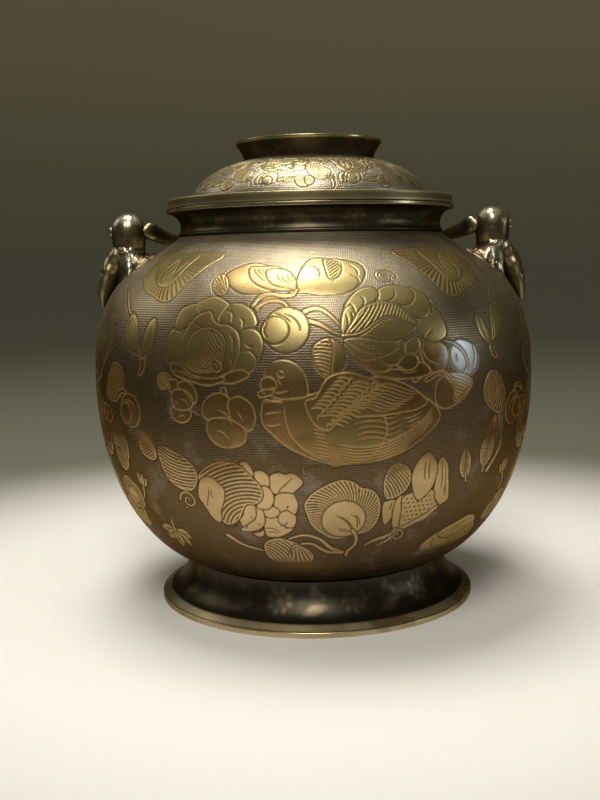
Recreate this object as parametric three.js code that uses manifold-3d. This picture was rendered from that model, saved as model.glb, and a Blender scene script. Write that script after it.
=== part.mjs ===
// Covered silver jar: a raised round body on a flared foot ring, a short neck with an everted
// lip, a domed lid with a ring knob, and a strap bail that swings in two drilled bulbs.
// Millimetres, +Z up. The origin is the centre of the foot's underside and -Y is the front.
import * as THREE from 'three';
import { mergeVertices } from 'three/addons/utils/BufferGeometryUtils.js';
import Module from 'manifold-3d';

const wasm = await Module();
wasm.setup();

// Foot ring: an upright edge, a shallow brim up to a crease, then a concave flare
const footRadius = 71.5;
const footEdgeHeight = 1.8;
const footEdgeBevel = 0.5;
const footEdgeWidth = 2.2;
const footBrimRadius = 67.8;
const footBrimHeight = 4.4;
const footWall = 1.8;

// Body: each pull says how far an outline leaves its end before it turns, as a share
const footHeight = 20;
const footTopRadius = 58.7;
const baseHeight = 11;
const bellyRadius = 97.6;
const bellyHeight = 100;
const bodyWall = 1.15;
const footTangentSlope = 0.346;
const footPull = 0.575;
const underBellyPull = 0.492;
const overBellyPull = 0.755;
const neckPull = 0.5;
const shoulderSlope = 0.84;

// Neck and lip
const neckBottom = 162.7;
const neckRadius = 58;
const neckBead = 0.9;
const neckBeadHeight = 1.3;
const neckHeight = 11.5;
const neckWall = 1.5;
const lipFlare = 6;
const lipRadius = neckRadius + lipFlare;

// Lid
const lidInset = 0.5;
const lidRadius = lipRadius - lidInset;
const lidBandHeight = 4.1;
const lidBandWall = 1.6;
const lidPlate = 1.4;
const domeInset = 6;
const domeRadius = neckRadius - domeInset;
const domeHeight = 19.8;
const domeWall = 1.2;
const collarWall = 1.3;
const collarDepth = 8.8;
const collarPlay = 1.2;
const knobRingRadius = 28.7;
const knobRingTopRadius = 32.4;
const knobRingTop = 24.7;
const knobRingWall = 1.5;

// Bulbs that carry the bail, each on a calyx with a leaf down its outer side
const pivotInset = 15.8;
const pivotX = bellyRadius - pivotInset;
const pivotLift = 19.573;
const bulbRadius = 7.75;
const bulbHalfHeight = 8.1;
const bulbSeat = 5.4;
const calyxLength = 26;
const calyxWidth = 20;
const calyxPlate = 2.4;
const calyxNeck = 6.3;
const calyxFlare = 3.2;
const calyxInset = 2.8;
const leafLength = 25;
const leafWidth = 15;
const leafThickness = 6.6;
const leafRootOut = 4.8;
const leafElbowOut = 11;
const leafTipOut = 12.9;
const leafDrop = 1.2;

// Bail
const pinRadius = 2.3;
const pinPlay = 0.4;
const pinProud = 0.6;
const strapThickness = 4.2;
const strapRootWidth = 7.2;
const strapWaistWidth = 5;
const gripWidth = 9;
const bailRise = 76.4;
const bulbGap = 0.75;

// Clearances
const seam = 0.3;
const seatGap = 0.3;
const restGap = 0.3;

const segments = 48;

const v2 = (x, y) => new THREE.Vector2(x, y);

// The point on a curve at u, moved sideways: to the left of the direction of travel.
function besideCurve(curve, u, distance) {
  const t = curve.getTangent(u);
  return curve.getPoint(u).add(v2(-t.y, t.x).multiplyScalar(distance));
}

function offsetCurve(curve, steps, distance) {
  return Array.from({ length: steps + 1 }, (_, i) => besideCurve(curve, i / steps, distance));
}

// Leaves one closed skin: shared vertices joined, triangles without area taken out.
function closeSkin(geometry) {
  geometry.deleteAttribute('uv');
  geometry.deleteAttribute('normal');
  const merged = mergeVertices(geometry, 1e-4);
  const index = Array.from(merged.index.array);
  const kept = [];
  for (let i = 0; i < index.length; i += 3) {
    const [a, b, c] = index.slice(i, i + 3);
    if (a !== b && b !== c && c !== a) kept.push(a, b, c);
  }
  merged.setIndex(kept);
  merged.computeVertexNormals();
  return merged;
}

// Turns a section about Z. The section runs anticlockwise, seen with r to the right and z up,
// and either starts and ends on the axis or comes back to its first point.
function turned(section, steps = segments) {
  const geometry = new THREE.LatheGeometry(section, steps);
  return closeSkin(geometry.rotateX(Math.PI / 2));
}

function turnedRing(section, steps = segments) {
  return turned([...section, section[0]], steps);
}

function toSolid(geometry) {
  const vertProperties = new Float32Array(geometry.attributes.position.array);
  const triVerts = new Uint32Array(geometry.index.array);
  return new wasm.Manifold(new wasm.Mesh({ numProp: 3, vertProperties, triVerts }));
}

function toGeometry(solid) {
  const mesh = solid.getMesh();
  const geometry = new THREE.BufferGeometry();
  geometry.setAttribute('position', new THREE.BufferAttribute(mesh.vertProperties, 3));
  geometry.setIndex(new THREE.BufferAttribute(mesh.triVerts, 1));
  geometry.computeVertexNormals();
  return geometry;
}

// Body outline, from the middle of the base out to the foot, up to the belly and in to the neck.
const footTopPoint = v2(footTopRadius, footHeight);
const bellyPoint = v2(bellyRadius, bellyHeight);
const neckPoint = v2(neckRadius, neckBottom);
const baseKnee = footTopRadius - (footHeight - baseHeight) / footTangentSlope;
const baseCurve = new THREE.QuadraticBezierCurve(
  v2(0, baseHeight), v2(baseKnee, baseHeight), footTopPoint);
const lowerReach = (bellyRadius - footTopRadius) * footPull;
const lowerCurve = new THREE.CubicBezierCurve(
  footTopPoint,
  v2(footTopRadius + lowerReach, footHeight + lowerReach * footTangentSlope),
  v2(bellyRadius, bellyHeight - (bellyHeight - footHeight) * underBellyPull),
  bellyPoint);
const shoulderReach = (bellyRadius - neckRadius) * neckPull;
const upperCurve = new THREE.CubicBezierCurve(
  bellyPoint,
  v2(bellyRadius, bellyHeight + (neckBottom - bellyHeight) * overBellyPull),
  v2(neckRadius + shoulderReach, neckBottom - shoulderReach * shoulderSlope),
  neckPoint);
const mouthEdge = neckRadius - bodyWall * 1.3;

function bodySection(outward) {
  const parts = [[baseCurve, 3], [lowerCurve, 8], [upperCurve, 8]];
  const points = parts.flatMap(([curve, steps], i) =>
    offsetCurve(curve, steps, -outward).slice(i ? 1 : 0));
  points[0].x = 0;
  return points;
}

function makeBody() {
  const outer = bodySection(0);
  const inner = bodySection(-bodyWall).reverse();
  return turned([...outer, v2(mouthEdge, neckBottom), ...inner]);
}

// The point of the shoulder's outline at a radius.
function shoulderAt(radius) {
  let [low, high] = [0, 1];
  for (let i = 0; i < 40; i++) {
    const middle = (low + high) / 2;
    if (upperCurve.getPoint(middle).x > radius) low = middle;
    else high = middle;
  }
  return upperCurve.getPoint(low);
}

const pivotHeight = shoulderAt(pivotX).y + pivotLift;

// A plug of the body's outer shape, a seam larger, that cuts what is soldered on the shoulder.
function bodyPlug() {
  const outer = bodySection(seam);
  return toSolid(turned([...outer, v2(0, neckBottom)]));
}

function makeFoot() {
  const crease = v2(footBrimRadius, footBrimHeight);
  const flare = new THREE.CubicBezierCurve(
    crease,
    v2(footTopRadius + 5, footBrimHeight + 1.4),
    v2(footTopRadius + 0.4, footHeight * 0.56),
    v2(footTopRadius, footHeight - seam));
  const innerFlare = offsetCurve(flare, 7, footWall).reverse();
  innerFlare[0].y = footHeight - seam - footWall * footTangentSlope;
  return turnedRing([
    v2(footRadius - footEdgeWidth, 0),
    v2(footRadius, 0),
    v2(footRadius, footEdgeHeight),
    v2(footRadius - footEdgeBevel, footEdgeHeight + footEdgeBevel),
    ...flare.getPoints(7),
    ...innerFlare,
    v2(footRadius - footEdgeWidth, footEdgeHeight - footEdgeBevel),
  ]);
}

const lipTop = neckBottom + neckHeight;

function makeNeck() {
  const wall = new THREE.CubicBezierCurve(
    v2(neckRadius + neckBead / 2, neckBottom + neckBeadHeight),
    v2(neckRadius - 1.4, neckBottom + neckHeight * 0.42),
    v2(neckRadius + 1.2, lipTop - neckWall * 1.2),
    v2(lipRadius - 0.3, lipTop - neckWall));
  const bore = offsetCurve(wall, 6, neckWall).reverse();
  bore[0] = v2(neckRadius + (lipRadius - neckRadius) * 0.42, lipTop);
  return turnedRing([
    v2(mouthEdge, neckBottom),
    v2(neckRadius + neckBead, neckBottom),
    v2(neckRadius + neckBead, neckBottom + neckBeadHeight * 0.6),
    ...wall.getPoints(6),
    v2(lipRadius, lipTop - neckWall * 0.6),
    v2(lipRadius, lipTop),
    ...bore,
  ]);
}

// Lid outline, above the underside of its band.
const plateTop = lidBandHeight;
const plateBottom = lidBandHeight - lidPlate;

function domeSection(radius, height, from) {
  return Array.from({ length: 9 }, (_, i) => {
    const a = (i / 8) * (Math.PI / 2);
    return v2(radius * Math.cos(a), from + height * Math.sin(a));
  });
}

function domeTopAt(radius) {
  return plateTop + domeHeight * Math.sqrt(1 - (radius / domeRadius) ** 2);
}

function makeLid() {
  const outer = domeSection(domeRadius, domeHeight, plateTop);
  const lift = domeHeight + plateTop - domeWall - plateBottom;
  const inner = domeSection(domeRadius - domeWall, lift, plateBottom).reverse();
  outer[8].x = 0;
  inner[0].x = 0;
  const bandInside = lidRadius - lidBandWall;
  return turned([
    ...inner,
    v2(bandInside, plateBottom),
    v2(bandInside, 0),
    v2(lidRadius, 0),
    v2(lidRadius, plateTop - 0.4),
    v2(lidRadius - 0.4, plateTop),
    ...outer,
  ]);
}

function makeLidCollar() {
  const outside = neckRadius - neckWall - collarPlay;
  return turnedRing([
    v2(outside - collarWall, plateBottom - collarDepth),
    v2(outside, plateBottom - collarDepth),
    v2(outside, plateBottom),
    v2(outside - collarWall, plateBottom),
  ]);
}

function makeKnobRing() {
  const inside = knobRingRadius - knobRingWall;
  const top = plateTop + knobRingTop;
  const outer = new THREE.CubicBezierCurve(
    v2(knobRingRadius, domeTopAt(knobRingRadius) + seam),
    v2(knobRingRadius + 0.3, domeTopAt(knobRingRadius) + 3),
    v2(knobRingTopRadius - 1.4, top - 3),
    v2(knobRingTopRadius - 0.2, top - 1));
  const inner = offsetCurve(outer, 4, knobRingWall).reverse();
  inner[inner.length - 1] = v2(inside, domeTopAt(inside) + seam);
  return turnedRing([
    ...outer.getPoints(4),
    v2(knobRingTopRadius, top - 0.8),
    v2(knobRingTopRadius, top),
    v2(inner[0].x, top),
    ...inner,
  ]);
}

// Rings of points along a plane path, each with its own half sizes, closed by a cap at each end.
// The path lies in XY and the second half size is along Z.
function skinAlong(stations, sides) {
  const ringPoints = ({ point, tangent, across, deep }) =>
    Array.from({ length: sides }, (_, i) => {
      const a = (i / sides) * Math.PI * 2;
      const out = across * Math.cos(a);
      return [point.x + tangent.y * out, point.y - tangent.x * out, deep * Math.sin(a)];
    });
  const positions = stations.flatMap(ringPoints);
  const last = stations.length - 1;
  positions.push([stations[0].point.x, stations[0].point.y, 0]);
  positions.push([stations[last].point.x, stations[last].point.y, 0]);
  const startCap = positions.length - 2;
  const endCap = positions.length - 1;
  const index = [];
  for (let i = 0; i < sides; i++) {
    const j = (i + 1) % sides;
    for (let k = 0; k < last; k++) {
      const [a, b] = [k * sides + i, k * sides + j];
      index.push(a, a + sides, b, b, a + sides, b + sides);
    }
    index.push(startCap, i, j);
    index.push(endCap, last * sides + j, last * sides + i);
  }
  const geometry = new THREE.BufferGeometry();
  geometry.setAttribute('position', new THREE.Float32BufferAttribute(positions.flat(), 3));
  geometry.setIndex(index);
  geometry.computeVertexNormals();
  return geometry;
}

// The carrier on the right, about the Z axis of the jar. The left one is the same, turned.
const bulbBottom = pivotHeight - bulbHalfHeight * 0.95;

function makeBulb() {
  const round = 2.2;
  const section = Array.from({ length: 13 }, (_, i) => {
    const a = (i / 12 - 0.5) * Math.PI;
    const [c, s] = [Math.max(Math.cos(a), 0), Math.sin(a)];
    const r = bulbRadius * c ** (2 / round);
    return v2(r, pivotHeight + bulbHalfHeight * Math.sign(s) * Math.abs(s) ** (2 / round));
  }).filter((p) => p.y > bulbBottom);
  section[section.length - 1].x = 0;
  const bulb = toSolid(turned([v2(0, bulbBottom), v2(bulbSeat, bulbBottom), ...section], 24)
    .translate(pivotX, 0, 0));
  const boreLength = bulbRadius * 3;
  const bore = toSolid(closeSkin(
    new THREE.CylinderGeometry(pinRadius + pinPlay, pinRadius + pinPlay, boreLength, 20)
      .rotateZ(Math.PI / 2)).translate(pivotX, 0, pivotHeight));
  return toGeometry(bulb.subtract(bore));
}

// A leaf laid down the outer side of the shoulder, drawn as stations from its root to its tip.
function leafSkin(grown) {
  const spine = new THREE.QuadraticBezierCurve(
    v2(pivotX + leafRootOut, bulbBottom - leafDrop),
    v2(pivotX + leafElbowOut, bulbBottom - leafLength * 0.4),
    v2(pivotX + leafTipOut, bulbBottom - leafDrop - leafLength));
  const steps = 9;
  const stations = Array.from({ length: steps + 1 }, (_, i) => {
    const u = i / steps;
    const swell = Math.sin(Math.PI * Math.min(0.16 + u * 0.8, 1)) ** 0.8;
    return {
      point: spine.getPoint(u),
      tangent: spine.getTangent(u),
      across: (leafThickness / 2) * (0.2 + 0.8 * swell) + grown,
      deep: (leafWidth / 2) * (0.1 + 0.9 * swell) + grown,
    };
  });
  return skinAlong(stations, 14).rotateX(Math.PI / 2);
}

function makeLeaf(plug) {
  return toGeometry(toSolid(leafSkin(0)).subtract(plug));
}

// A saddle plate that follows the shoulder, with a flared stem up to the bulb. The leaf takes
// over where the plate ends on the outer side.
function makeCalyx(plug) {
  const centre = shoulderAt(pivotX - calyxInset);
  const outline = new THREE.CylinderGeometry(1, 1, calyxLength * 2, 24)
    .rotateX(Math.PI / 2)
    .scale(calyxLength / 2, calyxWidth / 2, 1)
    .rotateY(Math.atan(shoulderSlope))
    .translate(centre.x, 0, centre.y);
  const skin = toSolid(turned([...bodySection(seam + calyxPlate), v2(0, neckBottom)]));
  const saddle = toSolid(closeSkin(outline)).intersect(skin);
  const stemFoot = pivotX - calyxNeck;
  const flare = new THREE.CubicBezierCurve(
    v2(calyxNeck + calyxFlare, shoulderAt(stemFoot).y - calyxFlare),
    v2(calyxNeck + calyxFlare * 0.7, shoulderAt(stemFoot).y + calyxFlare * 0.6),
    v2(calyxNeck, bulbBottom - calyxFlare),
    v2(calyxNeck, bulbBottom));
  const stem = toSolid(turned([
    v2(0, bellyHeight),
    v2(calyxNeck + calyxFlare, bellyHeight),
    ...flare.getPoints(5),
    v2(0, bulbBottom),
  ], 24).translate(pivotX, 0, 0));
  const reach = pivotX + calyxNeck * 0.75;
  const inside = toSolid(closeSkin(
    new THREE.CylinderGeometry(reach, reach, bulbBottom * 3, segments).rotateX(Math.PI / 2)));
  const leafSpace = toSolid(leafSkin(seam));
  const whole = saddle.add(stem).intersect(inside);
  return toGeometry(whole.subtract(leafSpace).subtract(plug));
}

// The bail lies in XY about its pivot: X along the pivot line, Y towards the crown.
const armX = pivotX - bulbRadius - bulbGap - strapThickness / 2;
const crownReach = bailRise - strapThickness / 2;

function bailWidth(angle) {
  const lift = Math.sin(angle);
  const narrow = THREE.MathUtils.smoothstep(lift, 0.05, 0.55);
  const swell = THREE.MathUtils.smoothstep(lift, 0.6, 1);
  return THREE.MathUtils.lerp(strapRootWidth, strapWaistWidth, narrow)
    + (gripWidth - strapWaistWidth) * swell;
}

function makeBail() {
  const bend = strapThickness;
  const firstAngle = bend / crownReach;
  const arch = new THREE.EllipseCurve(
    0, 0, armX, crownReach, Math.PI - firstAngle, firstAngle, true);
  const corner = new THREE.QuadraticBezierCurve(
    v2(-armX - bend, 0), v2(-armX, 0), arch.getPoint(0));
  const pinEnd = pivotX + bulbRadius + pinProud;
  const station = (curve, u, across, deep) => ({
    point: curve.getPoint(u), tangent: curve.getTangent(u), across, deep });
  const pin = new THREE.LineCurve(v2(-pinEnd, 0), v2(-armX - bend, 0));
  const half = [
    station(pin, 0, pinRadius, pinRadius),
    station(pin, 0.93, pinRadius, pinRadius),
  ];
  for (const u of [0.25, 0.5, 0.75]) {
    const deep = THREE.MathUtils.lerp(pinRadius, strapRootWidth / 2, u);
    half.push(station(corner, u, strapThickness / 2, deep));
  }
  const steps = 20;
  for (let i = 0; i < steps; i++) {
    const u = i / (2 * steps);
    const angle = THREE.MathUtils.lerp(firstAngle, Math.PI / 2, i / steps);
    half.push(station(arch, u, strapThickness / 2, bailWidth(angle) / 2));
  }
  const mirrored = half.map(({ point, tangent, across, deep }) => ({
    point: v2(-point.x, point.y), tangent: v2(tangent.x, -tangent.y), across, deep }));
  const crown = station(arch, 0.5, strapThickness / 2, gripWidth / 2);
  return skinAlong([...half, crown, ...mirrored.reverse()], 12);
}

// How far below level the bail lies when its crown rests on the back of the shoulder.
function bailRestSlope() {
  const shoulder = upperCurve.getPoints(160);
  const clears = (slope) => {
    for (let i = 0; i < 24; i++) {
      const a = (i / 24) * Math.PI * 2;
      const reach = crownReach + (strapThickness / 2) * Math.cos(a);
      const side = (gripWidth / 2) * Math.sin(a);
      const point = v2(
        reach * Math.cos(slope) + side * Math.sin(slope),
        pivotHeight - reach * Math.sin(slope) + side * Math.cos(slope));
      if (shoulder.some((p) => p.distanceTo(point) < restGap)) return false;
    }
    return true;
  };
  let slope = 0;
  while (slope < 0.5 && clears(slope + 0.001)) slope += 0.001;
  return slope;
}

const agedSilver = { color: 0x6f6757, roughness: 0.42, metalness: 1 };
const giltSilver = { color: 0x97854f, roughness: 0.36, metalness: 1 };
const darkSilver = { color: 0x3a352b, roughness: 0.45, metalness: 1 };

function part(name, geometry, look) {
  const mesh = new THREE.Mesh(geometry, new THREE.MeshStandardMaterial(look));
  mesh.name = name;
  return mesh;
}

const jar = new THREE.Group();
jar.name = 'covered_jar';
jar.add(
  part('foot_ring', makeFoot(), darkSilver),
  part('body_shell', makeBody(), agedSilver),
  part('neck_collar', makeNeck(), darkSilver));

const plug = bodyPlug();
for (const [side, turn] of [['right', 0], ['left', Math.PI]]) {
  const carrier = new THREE.Group();
  carrier.add(
    part(`${side}_bulb`, makeBulb(), agedSilver),
    part(`${side}_calyx`, makeCalyx(plug), giltSilver),
    part(`${side}_leaf`, makeLeaf(plug), darkSilver));
  carrier.rotation.z = turn;
  jar.add(carrier);
}

const lid = new THREE.Group();
lid.add(
  part('lid_dome', makeLid(), giltSilver),
  part('lid_collar', makeLidCollar(), darkSilver),
  part('lid_knob_ring', makeKnobRing(), darkSilver));
lid.position.z = lipTop + seatGap;
jar.add(lid);

const bail = part('bail', makeBail(), darkSilver);
bail.position.z = pivotHeight;
bail.rotation.x = -bailRestSlope();
jar.add(bail);

export default jar;
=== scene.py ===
import math
import bpy
import numpy as np
from mathutils import Matrix, Vector


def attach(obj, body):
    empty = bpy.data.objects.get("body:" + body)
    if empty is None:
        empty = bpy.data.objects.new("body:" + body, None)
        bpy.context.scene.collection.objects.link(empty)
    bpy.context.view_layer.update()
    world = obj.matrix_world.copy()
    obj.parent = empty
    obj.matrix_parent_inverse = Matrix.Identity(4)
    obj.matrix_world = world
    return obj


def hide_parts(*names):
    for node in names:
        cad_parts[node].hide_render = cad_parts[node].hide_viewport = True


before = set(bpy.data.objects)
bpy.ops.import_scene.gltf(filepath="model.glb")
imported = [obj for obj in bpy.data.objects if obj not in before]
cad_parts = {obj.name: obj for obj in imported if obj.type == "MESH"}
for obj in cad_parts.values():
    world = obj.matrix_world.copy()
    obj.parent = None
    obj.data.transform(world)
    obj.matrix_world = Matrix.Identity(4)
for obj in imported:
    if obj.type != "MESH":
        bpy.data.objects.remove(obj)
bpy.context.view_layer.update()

mm = 0.001
fineness = 1.0


# Outlines

def bezier(points, steps=60):
    share = np.linspace(0, 1, steps + 1)[:, None]
    points = [np.array(p, float) for p in points]
    while len(points) > 1:
        points = [a * (1 - share) + b * share for a, b in zip(points, points[1:])]
    return points[0]


# angles of evenly spaced points round a circle
def roundAngles(count):
    return np.arange(count) / count * 2 * math.pi


def lengthsAlong(points):
    steps = np.linalg.norm(np.diff(points, axis=0), axis=1)
    return np.concatenate([[0], np.cumsum(steps)])


# the same line again, with its points a given gap apart
def evenly(points, gap):
    points = np.array(points, float)
    lengths = lengthsAlong(points)
    count = max(int(round(lengths[-1] / gap)), 1)
    at = np.linspace(0, lengths[-1], count + 1)
    return np.stack([np.interp(at, lengths, column) for column in points.T], 1)


# a corner between two straight stretches, rounded off
def rounded(before, corner, after, gap, steps=4):
    return evenly(bezier([before, corner, after], steps), gap)


# which way is to the right of the line's direction of travel
def sideways(points):
    along = np.gradient(points, axis=0)
    along = along / np.maximum(np.linalg.norm(along, axis=1), 1e-9)[:, None]
    return np.stack([along[:, 1], -along[:, 0]], 1)


# the same line, moved to the right of its direction of travel
def beside(points, distance):
    return points + distance * sideways(points)


# a flowing line through a few points
def flowing(points, closed=False):
    steps = 6    # from each point to the next
    points = np.array(points, float)
    if closed:
        padded = np.vstack([points[-1:], points, points[:2]])
    else:
        padded = np.vstack([2 * points[0] - points[1], points, 2 * points[-1] - points[-2]])
    t = (np.arange(steps) / steps)[:, None]
    runs = []
    for a, b, c, d in zip(padded, padded[1:], padded[2:], padded[3:]):
        runs.append(0.5 * (2 * b + (c - a) * t + (2 * a - 5 * b + 4 * c - d) * t ** 2
                           + (3 * b - a - 3 * c + d) * t ** 3))
    if not closed:
        runs.append(points[-1:])
    return np.vstack(runs)


# Meshes

# A closed skin over rows of places. Columns always join up; rows join up too on a ring,
# and otherwise the first and last rows are single points.
def gridSkin(name, grid, ring=False, amounts=None):
    rows, columns = grid.shape[:2]
    if ring:
        number = np.arange(rows * columns).reshape(rows, columns)
        places = grid.reshape(-1, 3)
    else:
        number = np.zeros((rows, columns), int)
        number[1:-1] = 1 + np.arange((rows - 2) * columns).reshape(rows - 2, columns)
        number[-1] = (rows - 2) * columns + 1
        places = np.vstack([grid[0, :1], grid[1:-1].reshape(-1, 3), grid[-1, :1]])
    lower = number if ring else number[:-1]
    upper = np.roll(number, -1, 0) if ring else number[1:]
    quads = np.stack([lower, np.roll(lower, -1, 1), np.roll(upper, -1, 1), upper], -1)
    along = lengthsAlong(grid[:, 0] if ring else grid[:, columns // 4])
    total = along[-1] + (np.linalg.norm(grid[0, 0] - grid[-1, 0]) if ring else 0)
    v = np.append(along / total, 1.0) if ring else along / total
    u = np.arange(columns + 1) / columns
    low, high = np.meshgrid(v[:-1], u[:-1], indexing="ij")
    top, right = np.meshgrid(v[1:], u[1:], indexing="ij")
    flat = np.stack([high, low, right, low, right, top, high, top], -1).reshape(low.shape + (4, 2))
    if ring:
        corners = quads.reshape(-1)
        places2d = flat.reshape(-1, 2)
        starts = np.arange(quads.shape[0] * columns) * 4
    else:
        middle = quads[1:-1].reshape(-1)
        first = quads[0][:, [0, 2, 3]].reshape(-1)
        last = quads[-1][:, [0, 1, 2]].reshape(-1)
        corners = np.concatenate([middle, first, last])
        places2d = np.vstack([flat[1:-1].reshape(-1, 2), flat[0][:, [0, 2, 3]].reshape(-1, 2),
                              flat[-1][:, [0, 1, 2]].reshape(-1, 2)])
        squares = len(middle) // 4
        starts = np.concatenate([np.arange(squares) * 4,
                                 squares * 4 + np.arange(2 * columns) * 3])
    mesh = bpy.data.meshes.new(name)
    mesh.vertices.add(len(places))
    mesh.vertices.foreach_set("co", (places * mm).astype(np.float32).ravel())
    mesh.loops.add(len(corners))
    mesh.loops.foreach_set("vertex_index", corners.astype(np.int32))
    mesh.polygons.add(len(starts))
    mesh.polygons.foreach_set("loop_start", starts.astype(np.int32))
    mesh.polygons.foreach_set("use_smooth", np.ones(len(starts), bool))
    flatMap = mesh.uv_layers.new(name="OFBake")
    flatMap.data.foreach_set("uv", places2d.astype(np.float32).ravel())
    for amount, values in (amounts or {}).items():
        if not ring:
            values = np.concatenate([values[0, :1], values[1:-1].ravel(), values[-1, :1]])
        held = mesh.attributes.new(amount, "FLOAT", "POINT")
        held.data.foreach_set("value", values.astype(np.float32).ravel())
    mesh.update(calc_edges=True)
    mesh.validate()
    piece = bpy.data.objects.new(name, mesh)
    bpy.context.scene.collection.objects.link(piece)
    return piece


def joinRuns(runs):
    kept = [np.array(runs[0], float)]
    for run in runs[1:]:
        run = np.array(run, float)
        same = np.linalg.norm(run[0] - kept[-1][-1]) < 1e-6
        kept.append(run[1:] if same else run)
    return np.vstack(kept)


# how far an outline bends outwards at each point, where handling rubs the metal bright
def edgeWear(section, spread=0.7):
    along = lengthsAlong(section)
    steps = np.diff(section, axis=0)
    facing = np.unwrap(np.arctan2(steps[:, 1], steps[:, 0]))
    turned = np.diff(facing)
    wear = np.zeros(len(section))
    for place, bend in zip(along[1:-1], turned):
        if bend > 0.15:
            wear += bend * np.exp(-((along - place) / spread) ** 2)
    return np.clip(wear, 0, 1)


# Chasing

chasing = {
    "cell": 0.38,        # spacing of the mesh on a chased surface
    "step": 0.025,       # each layer of petals stands this much higher
    "crown": 0.035,      # and swells by this towards its middle
    "lineHalf": 0.27,    # half the width of a cut line
    "lineDepth": 0.17,
    "hatchWidth": 0.21,  # share of the pitch
    "stemGilt": 0.95,
}


class Sheet:
    # the skin of a turned piece, unrolled: how high, how gilt and how deeply cut each place is
    def __init__(self, section, columns):
        self.section = section
        self.columns = columns
        self.radii = section[:, 0]
        self.along = lengthsAlong(section)
        self.cell = 2 * math.pi * self.radii.max() / columns
        self.angles = np.arange(columns) * 360 / columns - 180
        self.lift = np.zeros((len(section), columns), np.float32)
        self.gilt = np.zeros_like(self.lift)
        self.line = np.zeros_like(self.lift)

    # an amount for each row, the same all the way round
    def allRound(self, amounts):
        return np.repeat(amounts[:, None], self.columns, 1)

    def keepOnly(self, share):
        for layer in (self.lift, self.gilt, self.line):
            layer *= share[:, None]

    # how far along the outline the given rows pass a height
    def atHeight(self, height, rows):
        return float(np.interp(height, self.section[rows, 1], self.along[rows]))

    def skin(self):
        out = sideways(self.section)
        rise = self.lift - chasing["lineDepth"] * self.line
        angle = np.radians(self.angles)
        r = self.section[:, :1] + out[:, :1] * rise
        z = self.section[:, 1:] + out[:, 1:] * rise
        return np.stack([r * np.sin(angle), -r * np.cos(angle), z], -1)


# how far each place is from a line of points, and what share of the line it is beside;
# inside a closed line the distance is negative
def distanceTo(x, y, points, closed=False):
    start = points if closed else points[:-1]
    end = np.roll(points, -1, 0) if closed else points[1:]
    ax, ay = start[:, 0:1], start[:, 1:2]
    dx, dy = end[:, 0:1] - ax, end[:, 1:2] - ay
    size = np.maximum(dx * dx + dy * dy, 1e-12)
    t = np.clip(((x - ax) * dx + (y - ay) * dy) / size, 0, 1)
    away = (x - ax - t * dx) ** 2 + (y - ay - t * dy) ** 2
    nearest = away.argmin(0)
    pick = np.arange(len(x))
    gap = np.sqrt(away[nearest, pick])
    share = (nearest + t[nearest, pick]) / len(start)
    if closed:
        crosses = ((ay > y) != (ay + dy > y)) & (
            x < dx * (y - ay) / np.where(np.abs(dy) < 1e-12, 1e-12, dy) + ax)
        gap = np.where(crosses.sum(0) % 2 == 1, -gap, gap)
    return gap, share


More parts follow.
